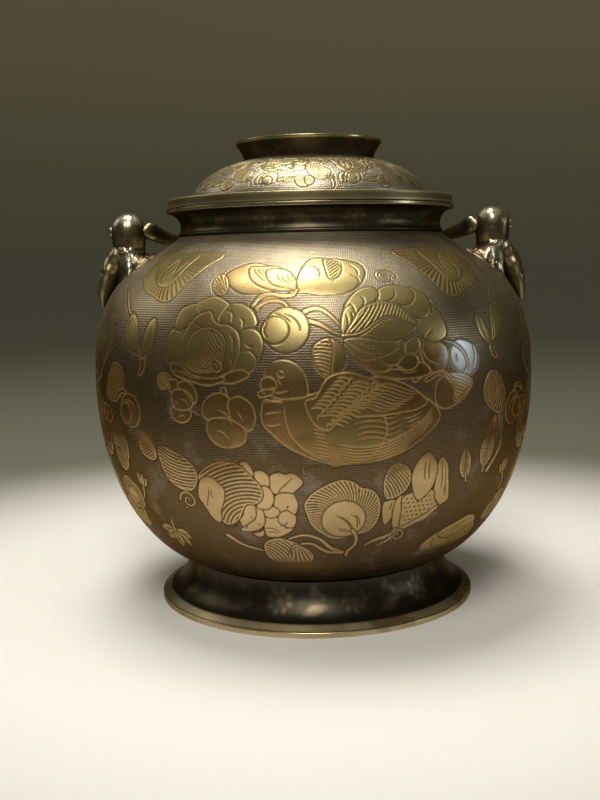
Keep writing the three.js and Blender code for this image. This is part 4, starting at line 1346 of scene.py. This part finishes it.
def makeNeck(shape):
    section = neckOutline(shape)
    sheet = Sheet(section, int(shape["columns"] * fineness))
    low, top, margin = shape["bottom"], shape["bottom"] + shape["height"], 1.2
    outside = (sideways(section)[:, 0] > 0) & (section[:, 0] > shape["radius"] - margin)
    rows = np.nonzero((section[:, 1] > low + margin) & (section[:, 1] < top - 1) & outside)[0]
    motifs = []
    for i in range(10):
        angle = i * 36 - 18
        motifs += [(rosette, angle, 168.2, 5.0, 10 * i),
                   (hatchedLeaf, angle + 15, 167.4, 4.6, 25 if i % 2 else -25, 7)]
    place(sheet, rows, motifs)
    sheet.lift *= shape["relief"]
    sheet.line *= shape["lines"]
    wear = edgeWear(section) * (section[:, 1] > low + 3)
    amounts = {"gilt": softened(sheet.gilt, 1) * shape["gilt"], "line": sheet.line,
               "worn": sheet.allRound(wear)}
    return gridSkin("neck_and_lip", sheet.skin(), ring=True, amounts=amounts)


print("stage: neck")
setFinish(makeNeck(neckShape), silverFinish("blackened silver neck", darkLook), "jar", "neck_collar")


# Lid

lidShape = {
    "seat": 174.5, "radius": 63.5, "band": 4.1, "bandWall": 1.6, "plate": 1.4, "arris": 0.25,
    "bevel": 0.6, "dome": (52.0, 19.8), "domeWall": 1.2, "domeFillet": 0.5, "ringRadius": 28.7,
    "columns": 1200,
}


def domeHeightAt(radius):
    domeR, domeH = lidShape["dome"]
    return lidShape["seat"] + lidShape["band"] + domeH * math.sqrt(1 - (radius / domeR) ** 2)


def lidOutline(shape):
    seat, out, wall = shape["seat"], shape["radius"], shape["bandWall"]
    arris, bevel, fillet = shape["arris"], shape["bevel"], shape["domeFillet"]
    top, under = seat + shape["band"], seat + shape["band"] - shape["plate"]
    domeR, domeH = shape["dome"]
    turn = np.linspace(0, math.pi / 2, 120)
    dome = np.stack([domeR * np.cos(turn), top + domeH * np.sin(turn)], 1)
    dome[-1, 0] = 0
    lift = domeH + top - shape["domeWall"] - under
    vault = np.stack([(domeR - shape["domeWall"]) * np.cos(turn), under + lift * np.sin(turn)], 1)[::-1]
    vault[0, 0] = 0
    return joinRuns([
        evenly(vault, 2.0),
        evenly([vault[-1], (out - wall, under)], 1.5),
        evenly([(out - wall, under), (out - wall, seat)], 0.7),
        evenly([(out - wall, seat), (out - arris, seat)], 0.5),
        rounded((out - arris, seat), (out, seat), (out, seat + arris), 0.1),
        evenly([(out, seat + arris), (out, top - bevel)], 0.4),
        rounded((out, top - bevel), (out, top), (out - bevel, top), 0.12, 8),
        evenly([(out - bevel, top), (domeR + fillet, top)], 0.6),
        rounded((domeR + fillet, top), (domeR, top), (domeR, top + fillet), 0.15),
        evenly(dome[1:], chasing["cell"] / fineness),
    ])


# nine sprays round the dome, each a flower with leaves, fruits and tendrils; it gives radii
def lidMotifs():
    motifs = []
    for i in range(9):
        angle = i * 40 - 14
        motifs += [
            (hatchedLeaf, angle + 6, 50, 5.0, 8, 9),
            (combedLeaf, angle + 19, 47, 0.55, 170 * (i % 2)),
            (hatchedLeaf, angle + 13, 33.5, 4.6, 30, 9),
            (halfLeaf, angle + 28, 34.5, 0.55, 60),
            ((leafPeony, cupPeony, shellPeony)[i % 3], angle, 41.5, 0.47, 25 * i),
            (fruitPair, angle + 20, 38.5, 0.5, 40),
            (spiral, angle + 30, 50.3, 2.4),
            (curledLeaf, angle + 12, 50.6, 0.40, 20),
            (fruitPair, angle + 35, 49.6, 0.40, 60),
            (spiral, angle - 5, 49.4, -2.0, 90),
            (smallBud, angle + 24.6, 50.8, 3.4, 10),
            (smallBud, angle + 21, 32, 3.2, 90),
        ]
    return motifs


def makeLid(shape):
    section = lidOutline(shape)
    sheet = Sheet(section, int(shape["columns"] * fineness))
    top = shape["seat"] + shape["band"]
    rows = np.nonzero((section[:, 1] > top + 0.3) & (sideways(section)[:, 1] > 0))[0]
    place(sheet, rows, [(motif, angle, domeHeightAt(radius), *more)
                        for motif, angle, radius, *more in lidMotifs()])
    chased = np.zeros(len(section))
    chased[rows] = section[rows, 0] >= shape["ringRadius"] + 0.6
    sheet.keepOnly(chased)
    # the band and the plate inside it are tarnished a deep olive
    band = np.clip((section[:, 0] - shape["dome"][0] - 0.3) / 0.4, 0, 1)
    sheet.line[:] = np.maximum(sheet.line, band[:, None])
    sheet.gilt[:] = np.maximum(sheet.gilt, band[:, None])
    amounts = {"gilt": sheet.gilt, "line": sheet.line, "along": sheet.allRound(sheet.along),
               "worn": sheet.allRound(edgeWear(section))}
    return gridSkin("chased_lid", sheet.skin(), amounts=amounts)


lidLook = {
    **bodyLook,
    "ground": (0.52, 0.46, 0.36),
    "tarnish": (0.36, 0.31, 0.23),
    "bloom": (0.66, 0.62, 0.54),
    "gold": (0.60, 0.50, 0.27),
    "deepGold": (0.46, 0.38, 0.20),
    "redGold": (0.44, 0.31, 0.17),
    "groove": (0.035, 0.028, 0.010),
    "rise": None,
    "paintedSheenSpot": None,
    "lineShare": 0.72,
    "worn": 0.9,
    "punchShare": 0.25,
}

print("stage: lid")
setFinish(makeLid(lidShape), silverFinish("gilt silver lid", lidLook), "lid", "lid_dome")

collarShape = {"inside": 54.0, "outside": 55.3, "low": 168.4, "high": 177.15, "arris": 0.3, "columns": 240}


def makeCollar(shape):
    inside, outside, low, high = shape["inside"], shape["outside"], shape["low"], shape["high"]
    arris = shape["arris"]
    section = joinRuns([
        evenly([(inside + arris, low), (outside - arris, low)], 0.3),
        rounded((outside - arris, low), (outside, low), (outside, low + arris), 0.1),
        evenly([(outside, low + arris), (outside, high)], 0.7),
        evenly([(outside, high), (inside, high)], 0.5),
        evenly([(inside, high), (inside, low + arris)], 0.7),
        rounded((inside, low + arris), (inside, low), (inside + arris, low), 0.1)[:-1],
    ])
    sheet = Sheet(section, shape["columns"])
    worn = sheet.allRound(edgeWear(section))
    return gridSkin("lid_inner_collar", sheet.skin(), ring=True, amounts={"worn": worn})


plainDarkLook = {**darkLook, "gilded": False}
setFinish(makeCollar(collarShape), silverFinish("dark worked silver", plainDarkLook), "lid", "lid_collar")


# Knob ring

ringShape = {"foot": 28.7, "top": 32.4, "height": 203.3, "wall": 1.5, "solder": 0.05, "columns": 480}


def makeKnobRing(shape):
    foot, out, top, wall = shape["foot"], shape["top"], shape["height"], shape["wall"]
    low = domeHeightAt(foot)
    side = bezier([(foot, low + shape["solder"]), (foot + 0.3, low + 3), (out - 1.4, top - 3),
                   (out - 0.2, top - 1)])
    inner = beside(side, -wall)[::-1]
    inner[-1] = (foot - wall, domeHeightAt(foot - wall) + shape["solder"])
    lip = inner[0, 0]
    section = joinRuns([
        evenly(side, 0.35),
        evenly([(out - 0.2, top - 1), (out, top - 0.8)], 0.15),
        evenly([(out, top - 0.8), (out, top - 0.2)], 0.2),
        rounded((out, top - 0.2), (out, top), (out - 0.2, top), 0.08),
        evenly([(out - 0.2, top), (lip + 0.2, top)], 0.3),
        rounded((lip + 0.2, top), (lip, top), (lip, top - 0.2), 0.08),
        evenly(np.vstack([(lip, top - 0.2), inner[1:]]), 0.6),
        evenly([inner[-1], side[0]], 0.5)[:-1],
    ])
    sheet = Sheet(section, shape["columns"])
    worn = sheet.allRound(edgeWear(section, 0.6))
    return gridSkin("knob_ring", sheet.skin(), ring=True, amounts={"worn": worn})


print("stage: knob ring")
ringLook = {**plainDarkLook, "ground": (0.11, 0.075, 0.045), "bloom": (0.2, 0.13, 0.08), "worn": 1.0}
setFinish(makeKnobRing(ringShape), silverFinish("dark silver knob ring", ringLook), "lid",
          "lid_knob_ring")


# Carriers of the bail: bulb, calyx and leaf on each side

carrierShape = {
    "pivot": (81.8, 165.6),
    "bulb": (7.75, 8.1), "bulbRound": 2.2, "seat": 7.1, "bore": 2.7,
    "trunk": 7.3, "collar": 6.4, "saddle": (10.0, 10.0), "saddleAt": 79.0, "saddleEnd": 86.4,
    "trunkFoot": 9.4,                     # below the pivot
    "petalLumps": 11, "trunkLumps": 7.25,    # radii at which the two sets of lumps are laid out
    "plate": 2.4, "petals": 7,
    "leaf": [(85.6, 157.4), (92.9, 149.6), (94.7, 131.7)], "leafWidth": 15.0, "leafThick": 7.0,
    "bulbColumns": 150, "calyxColumns": 280, "leafColumns": 120,
}

carrierLook = {
    **plainDarkLook,
    "ground": (0.20, 0.15, 0.085),
    "tarnish": (0.085, 0.062, 0.036),
    "bloom": (0.36, 0.29, 0.19),
    "bloomShare": 0.35,
    "fineScale": 120,
    "wornTone": (0.66, 0.60, 0.46),
    "worn": 0.9,
    "groundRough": 0.35,
    "pitting": 0.12,
}


def bodyRadiusAt(height):
    return np.interp(height, bodySide[:, 1], bodySide[:, 0])


def shoulderHeightAt(radius):
    upper = bodySide[bodySide[:, 1] >= bodyShape["belly"][1]][::-1]
    return np.interp(radius, upper[:, 0], upper[:, 1])


# A piece is made on the right, where side is 1; on the left, where side is -1, it is turned
# halfway round the jar.
def sidePiece(name, grid, side, worn):
    sideName = "left" if side < 0 else "right"
    return gridSkin(sideName + name, grid * (side, side, 1), amounts={"worn": worn})


# scattered round bumps, as on a cast and chased surface
def pebbles(u, v, count, spanU, spanV, size, seed):
    chance = np.random.default_rng(seed)
    rise = np.zeros_like(u)
    for _ in range(count):
        cu, cv, s = chance.uniform(*spanU), chance.uniform(*spanV), size * chance.uniform(0.7, 1.25)
        rise = np.maximum(rise, np.clip(1 - ((u - cu) ** 2 + (v - cv) ** 2) / s ** 2, 0, 1) ** 0.5)
    return rise


def makeBulb(shape, side):
    (px, pz), (r, half) = shape["pivot"], shape["bulb"]
    power = 2 / shape["bulbRound"]
    low = pz - half * 0.95
    turn = np.linspace(-0.5, 0.5, 240) * math.pi
    ball = np.stack([r * np.abs(np.cos(turn)) ** power,
                     pz + half * np.sign(np.sin(turn)) * np.abs(np.sin(turn)) ** power], 1)
    upright = r + (shape["seat"] - r) * np.clip((pz - ball[:, 1]) / (pz - low), 0, 1) ** 2
    ball[:, 0] = np.where(ball[:, 1] < pz, upright, ball[:, 0])
    ball = ball[(ball[:, 1] > low)]
    ball[-1, 0] = 0
    section = joinRuns([evenly([(0, low), (shape["seat"], low)], 0.8),
                        evenly(np.vstack([(shape["seat"], low), ball]), 0.28)])
    columns = shape["bulbColumns"]
    angle = roundAngles(columns)
    out = sideways(section)
    r0, z0 = np.repeat(section[:, :1], columns, 1), np.repeat(section[:, 1:], columns, 1)
    # soft lobes above the pin, and the marks of the hammer
    band = np.interp(z0, [pz - 5, pz - 1, pz + 3, pz + 7], [0, 0, 1, 0])
    lobes = 0.16 * np.abs(np.cos(2.5 * angle)) ** 0.6 * band
    u = (angle * r)[None, :] + 0 * z0
    knocks = pebbles(u, z0, 60, (0, 2 * math.pi * r), (pz - 8, pz + 8), 2.4, 3 if side > 0 else 4)
    rise = (lobes + 0.10 * knocks - 0.12) * np.interp(r0, [0, 3, 5], [0, 0.6, 1]) * (z0 > low + 0.3)
    rr = r0 + out[:, :1] * rise
    zz = z0 + out[:, 1:] * rise
    grid = np.stack([px + rr * np.sin(angle), -rr * np.cos(angle), zz], -1)
    # brighter towards the top and none below the pin: a painted highlight on the bulb's top, brighter still
    # on the hammer marks
    worn = np.interp(zz, [pz - 1, pz + 6], [0, 0.9]) * (0.7 + 0.3 * knocks)
    piece = sidePiece("_bulb_cast", grid, side, worn)
    boreThrough(piece, shape["bore"], (side * px, 0, pz), 3 * r)
    return piece


def boreThrough(piece, radius, middle, length):
    x, y, z = middle
    turn = roundAngles(40)
    rows = []
    for end, size in ((-1, 0), (-1, 1), (1, 1), (1, 0)):
        rows.append(np.stack([np.full(len(turn), x + end * length / 2),
                              y + size * radius * np.cos(turn),
                              z + size * radius * np.sin(turn)], 1))
    cutter = gridSkin("bore_cutter", np.array(rows))
    boolean = piece.modifiers.new("bore", "BOOLEAN")
    boolean.operation = "DIFFERENCE"
    boolean.solver = "EXACT"
    boolean.object = cutter
    bpy.context.view_layer.update()
    bored = bpy.data.meshes.new_from_object(piece.evaluated_get(bpy.context.evaluated_depsgraph_get()))
    piece.modifiers.clear()
    piece.data = bored
    bpy.data.objects.remove(cutter)


# the saddle over the shoulder, its lumpy petals, and the trunk that swells up round the bulb
def makeCalyx(shape, side):
    (px, pz), trunk = shape["pivot"], shape["trunk"]
    top = pz - shape["collar"]
    foot = pz - shape["trunkFoot"]
    angle = roundAngles(shape["calyxColumns"])
    cx, sy = np.cos(angle), np.sin(angle)
    far = np.linspace(0, 25, 1200)[:, None]
    x, y = px + far * cx, far * sy
    within = ((x - shape["saddleAt"]) / shape["saddle"][0]) ** 2 + (y / shape["saddle"][1]) ** 2 < 1
    within &= np.hypot(x, y) < shape["saddleEnd"]
    reach = (far * within).max(0)
    tongue = np.abs(np.cos(shape["petals"] * (angle - math.pi) / 2))
    rim = reach * (0.86 + 0.14 * np.clip(tongue * 1.6, 0, 1) ** 0.5)
    rim = np.where(reach < trunk + 1, np.minimum(reach, trunk), rim)
    facing = np.exp(-((np.abs(sy) - 1) / 0.15) ** 2)    # the lumps stand on its front and back
    places, worn = [], []

    def addRow(away, rise, climb, height, bright):
        x, y = px + away * cx, away * sy
        lie = shoulderHeightAt(np.minimum(np.hypot(x, y), 97.5))
        places.append(np.stack([x, y, np.minimum((lie + rise) * (1 - climb) + height * climb, top)], 1))
        worn.append(np.clip(bright + 0 * angle, 0, 1))

    for share in np.linspace(0, 1, 12):
        addRow(rim * share, 0.12, 0, top, 0)
    inner = np.minimum(trunk, rim)
    for share in np.linspace(1, 0, 48):
        edge = np.clip((1 - share) / 0.4, 0, 1) ** 0.8
        climb = np.clip(1 - share / 0.8, 0, 1) ** 1.7
        lump = pebbles(angle * shape["petalLumps"], 0 * angle + share * 12, 90, (0, 69), (0, 12), 1.7, 21)
        swell = shape["plate"] * (0.5 + 0.2 * tongue + 0.5 * lump * facing) * edge
        addRow(inner + (rim - inner) * share, 0.12 + 0.25 * (share < 1) + swell, climb, foot,
               facing * lump * edge)
    for height in np.linspace(foot, top, 26)[1:]:
        share = (height - foot) / (top - foot)
        lump = pebbles(angle * shape["trunkLumps"], 0 * angle + height, 70, (0, 45.5),
                       (foot - 2, top - 1), 1.6, 22)
        lump *= facing * np.interp(share, [0, 0.1, 0.7, 1], [1, 1, 0.9, 0.4])
        addRow(inner - 0.6 * share ** 2 + 0.85 * lump, 0, 1, height, lump)
    for share in np.linspace(1, 0, 5)[1:]:
        addRow(inner * share, 0, 1, top, 0)
    return sidePiece("_calyx_petals", np.array(places), side, np.array(worn))


# a pointed leaf, lumpy outside, that hangs over the shoulder below the bulb
def makeLeaf(shape, side):
    spine = evenly(bezier(shape["leaf"]), 0.3)
    share = np.linspace(0, 1, len(spine))[:, None]
    angle = roundAngles(shape["leafColumns"])
    half = shape["leafWidth"] / 2
    swell = np.sin(math.pi * np.minimum(0.28 + share * 0.70, 1)) ** 0.8
    thick = shape["leafThick"] / 2 * (0.2 + 0.8 * swell)
    wide = half * (0.1 + 0.9 * swell) * (1 + 0.10 * np.sin(share * 19) * (1 - share))
    thick[[0, -1]] = 0
    wide[[0, -1]] = 0
    out = -sideways(spine)
    along = lengthsAlong(spine)[:, None] + 0 * angle
    around = wide * np.sin(angle)
    front = np.clip(np.cos(angle), 0, 1) + 0 * share
    back = np.clip(-np.cos(angle), 0, 1) + 0 * share
    lumps = pebbles(along, around, 46, (0, along.max()), (-half, half), 3.0, 9)
    fine = pebbles(along, around, 150, (0, along.max()), (-half, half), 1.2, 10)
    rise = front * (0.9 * lumps + 0.35 * fine - 0.75) - back * thick * 1.3 * (1 - share)
    rise[[0, -1]] = 0
    across = thick * np.cos(angle) + rise
    x = spine[:, :1] + out[:, :1] * across
    z = spine[:, 1:] + out[:, 1:] * across
    # its back lies on the shoulder
    radius = np.hypot(x, around)
    lie = bodyRadiusAt(z) + 0.3
    grow = np.where(radius < lie, lie / radius, 1)
    grid = np.stack([x * grow, around * grow, z], -1)
    worn = np.clip(front * (0.7 * lumps + 0.3 * fine) * (1 - 0.7 * share), 0, 1)
    return sidePiece("_hanging_leaf", grid[::-1], side, worn[::-1])


print("stage: carriers")
bulbSilver = silverFinish("rubbed cast silver", carrierLook)
leafLook = {**carrierLook, "ground": (0.24, 0.20, 0.11), "tarnish": (0.09, 0.076, 0.045),
            "bloomShare": 0.3, "worn": 0.8}
leafSilver = silverFinish("dark cast leaf", leafLook)
for sideName, side in (("right", 1), ("left", -1)):
    setFinish(makeBulb(carrierShape, side), bulbSilver, "jar", sideName + "_bulb")
    setFinish(makeCalyx(carrierShape, side), bulbSilver, "jar", sideName + "_calyx")
    setFinish(makeLeaf(carrierShape, side), leafSilver, "jar", sideName + "_leaf")


# Bail

bailShape = {
    "pivot": 165.6, "lie": -6.589, "armX": 71.2, "reach": 74.3, "pinEnd": 90.15, "pin": 2.3,
    "thick": 4.2, "root": 7.8, "waist": 4.9, "grip": 9.0, "columns": 40,
}


def smoothstep(value, low, high):
    t = np.clip((value - low) / (high - low), 0, 1)
    return t * t * (3 - 2 * t)


# a pin, a corner and half of the arch, mirrored to give the other half, and laid back on the shoulder
def makeBail(shape):
    bend = shape["thick"]
    first = bend / shape["reach"]
    turn = np.linspace(math.pi - first, math.pi / 2, 260)
    arch = np.stack([shape["armX"] * np.cos(turn), shape["reach"] * np.sin(turn)], 1)
    corner = bezier([(-shape["armX"] - bend, 0), (-shape["armX"], 0), arch[0]])
    pin = evenly([(-shape["pinEnd"], 0), (-shape["armX"] - bend, 0)], 0.6)
    half = joinRuns([pin, evenly(corner, 0.4), evenly(arch, 0.6)])
    lengths = lengthsAlong(half)
    pinLength = shape["pinEnd"] - shape["armX"] - bend
    cornerEnd = pinLength + lengthsAlong(corner)[-1]
    lift = np.where(lengths < pinLength, 0, half[:, 1] / shape["reach"])
    width = shape["root"] + (shape["waist"] - shape["root"]) * smoothstep(lift, 0.05, 0.55)
    width += (shape["grip"] - shape["waist"]) * smoothstep(lift, 0.6, 1.0)
    grown = smoothstep(lengths, pinLength - 0.4, pinLength + 0.45 * (cornerEnd - pinLength))
    deep = shape["pin"] + (width / 2 - shape["pin"]) * grown
    across = shape["pin"] + (shape["thick"] / 2 - shape["pin"]) * grown
    whole = np.vstack([half, half[::-1][1:] * (-1, 1)])
    deep, across = (np.concatenate([a, a[::-1][1:]])[:, None] for a in (deep, across))
    grown = np.concatenate([grown, grown[::-1][1:]])[:, None]
    columns = shape["columns"]
    angle = roundAngles(columns)
    # a strap with soft corners, round where it becomes the pin
    power = 1 - 0.32 * grown
    c, s = np.cos(angle), np.sin(angle)
    side = across * np.sign(c) * np.abs(c) ** power
    up = deep * np.sign(s) * np.abs(s) ** power
    out = -sideways(whole)
    x = whole[:, :1] + out[:, :1] * side
    y = whole[:, 1:] + out[:, 1:] * side
    grid = np.stack([x, y, up], -1)
    ends = np.array([[whole[0, 0], whole[0, 1], 0], [whole[-1, 0], whole[-1, 1], 0]])
    grid = np.concatenate([np.repeat(ends[:1, None], columns, 1), grid,
                           np.repeat(ends[1:, None], columns, 1)])
    tilt = math.radians(shape["lie"])
    lain = np.stack([grid[..., 0], grid[..., 1] * math.cos(tilt) - grid[..., 2] * math.sin(tilt),
                     grid[..., 1] * math.sin(tilt) + grid[..., 2] * math.cos(tilt) + shape["pivot"]], -1)
    worn = np.abs(c * s) ** 2 * 4 * np.ones((len(grid), 1)) * 0.8
    return gridSkin("strap_bail", lain, amounts={"worn": worn})


print("stage: bail")
bailLook = {**plainDarkLook, "ground": (0.16, 0.125, 0.085), "tarnish": (0.06, 0.048, 0.035),
            "bloom": (0.34, 0.29, 0.2), "worn": 0.8, "fineScale": 140, "pitting": 0.2}
setFinish(makeBail(bailShape), silverFinish("dark strap silver", bailLook), "bail", "bail")


# Floor, lamps and camera

studio = {
    "floor": (0.76, 0.745, 0.715),
    "farFloor": (0.13, 0.13, 0.095),
    "wall": (0.38, 0.35, 0.22),
    "lightPoolReach": (0.15, 0.38),    # the floor is pale only near the middle, a painted pool of light that ends between these distances, in metres
    "wallRise": (0.1, 1.0),
    "flat": 1.5, "wallAt": 2.3, "wallTop": 2.6, "curve": 0.8, "columns": 120,
    "air": 0.36,
    "airTone": (1.0, 0.94, 0.78, 1),
}

# each with its place, what it is aimed at, its size in metres, its power in watts and its colour
lamps = {
    "top lamp": ((-0.13, 0.10, 1.20), (-0.02, 0, 0.1), (0.46, 0.42), 9.0, (1.0, 0.965, 0.91)),
    "front lamp": ((-0.06, -0.80, 0.92), (0, 0, 0.1), (0.34, 0.75), 8.6, (1.0, 0.955, 0.88)),
    "left lamp": ((-0.95, 0.25, 0.75), (0, 0, 0.1), (0.6, 0.6), 1.6, (1.0, 0.96, 0.88)),
    "side lamp": ((1.2, -0.30, 0.30), (0, 0, 0.11), (0.16, 0.3), 1.0, (0.86, 0.93, 1.0)),
}


# a round sheet of paper that turns up into a wall on every side
def makeSweep():
    flat, wallAt, curve = studio["flat"], studio["wallAt"], studio["curve"]
    line = joinRuns([[(0, 0), (0.4, 0), (0.8, 0), (flat, 0)],
                     bezier([(flat, 0), (wallAt, 0), (wallAt, curve)], 24),
                     [(wallAt, curve), (wallAt, studio["wallTop"])]])
    columns = studio["columns"]
    angle = roundAngles(columns)
    places = [(r * math.cos(a), r * math.sin(a), z) for r, z in line[1:] for a in angle] + [(0, 0, 0)]
    faces = [(len(places) - 1, i, (i + 1) % columns) for i in range(columns)]
    for row in range(len(line) - 2):
        for i in range(columns):
            a, b = row * columns + i, row * columns + (i + 1) % columns
            faces.append((a, a + columns, b + columns, b))
    mesh = bpy.data.meshes.new("studio_sweep")
    mesh.from_pydata(places, [], faces)
    for face in mesh.polygons:
        face.use_smooth = True
    sweep = bpy.data.objects.new("studio_sweep", mesh)
    bpy.context.scene.collection.objects.link(sweep)
    finish = Finish("pale studio paper")
    here = finish.node("ShaderNodeTexCoord", output="Object")
    away = finish.node("ShaderNodeVectorMath", {"operation": "LENGTH"}, {0: here}, "Value")
    height = finish.node("ShaderNodeSeparateXYZ", None, {0: here}, "Z")
    # pale near the middle and dark further out: a painted pool of light
    tone = finish.blend(away.ease(*studio["lightPoolReach"]), studio["floor"], studio["farFloor"])
    tone = finish.blend(height.ease(*studio["wallRise"]), tone, studio["wall"])
    shader = finish.node("ShaderNodeBsdfPrincipled", None, {"Base Color": tone, "Roughness": 0.85})
    finish.node("ShaderNodeOutputMaterial", None, {"Surface": shader})
    mesh.materials.append(finish.material)


def makeWorld():
    world = bpy.data.worlds.new("studio air")
    world.use_nodes = True
    bpy.context.scene.world = world
    air = world.node_tree.nodes["Background"]
    air.inputs["Color"].default_value = studio["airTone"]
    air.inputs["Strength"].default_value = studio["air"]


def addLamp(name, at, aim, size, power, colour):
    lamp = bpy.data.lights.new(name, "AREA")
    lamp.shape = "RECTANGLE"
    lamp.size, lamp.size_y = size
    lamp.energy = power
    lamp.color = colour
    holder = bpy.data.objects.new(name, lamp)
    bpy.context.scene.collection.objects.link(holder)
    holder.location = at
    holder.rotation_euler = (Vector(aim) - Vector(at)).to_track_quat("-Z", "Y").to_euler()


# the camera that was fitted to the photograph, in metres, radians and pixels
def addCamera():
    view = {"distance": 0.4771, "height": 0.15146, "pitch": 0.13303, "roll": -0.02063, "yaw": -0.01287,
            "focal": 1047.06, "frameHeight": 800}
    camera = bpy.data.cameras.new("camera")
    camera.sensor_width = 36
    camera.lens = view["focal"] / view["frameHeight"] * camera.sensor_width
    camera.clip_start = 0.01
    holder = bpy.data.objects.new("camera", camera)
    bpy.context.scene.collection.objects.link(holder)
    sy, cy = math.sin(view["yaw"]), math.cos(view["yaw"])
    sp, cp = math.sin(view["pitch"]), math.cos(view["pitch"])
    sr, cr = math.sin(view["roll"]), math.cos(view["roll"])
    right, up = Vector((cy, -sy, 0)), Vector((sy * sp, cy * sp, cp))
    ahead = Vector((sy * cp, cy * cp, -sp))
    across, above = right * cr + up * sr, up * cr - right * sr
    turn = Matrix((across, above, -ahead)).transposed()
    holder.matrix_world = Matrix.Translation((0, -view["distance"], view["height"])) @ turn.to_4x4()
    bpy.context.scene.camera = holder


print("stage: studio")
makeSweep()
makeWorld()
for name, lamp in lamps.items():
    addLamp(name, *lamp)
addCamera()
bpy.context.scene.view_settings.view_transform = "Standard"
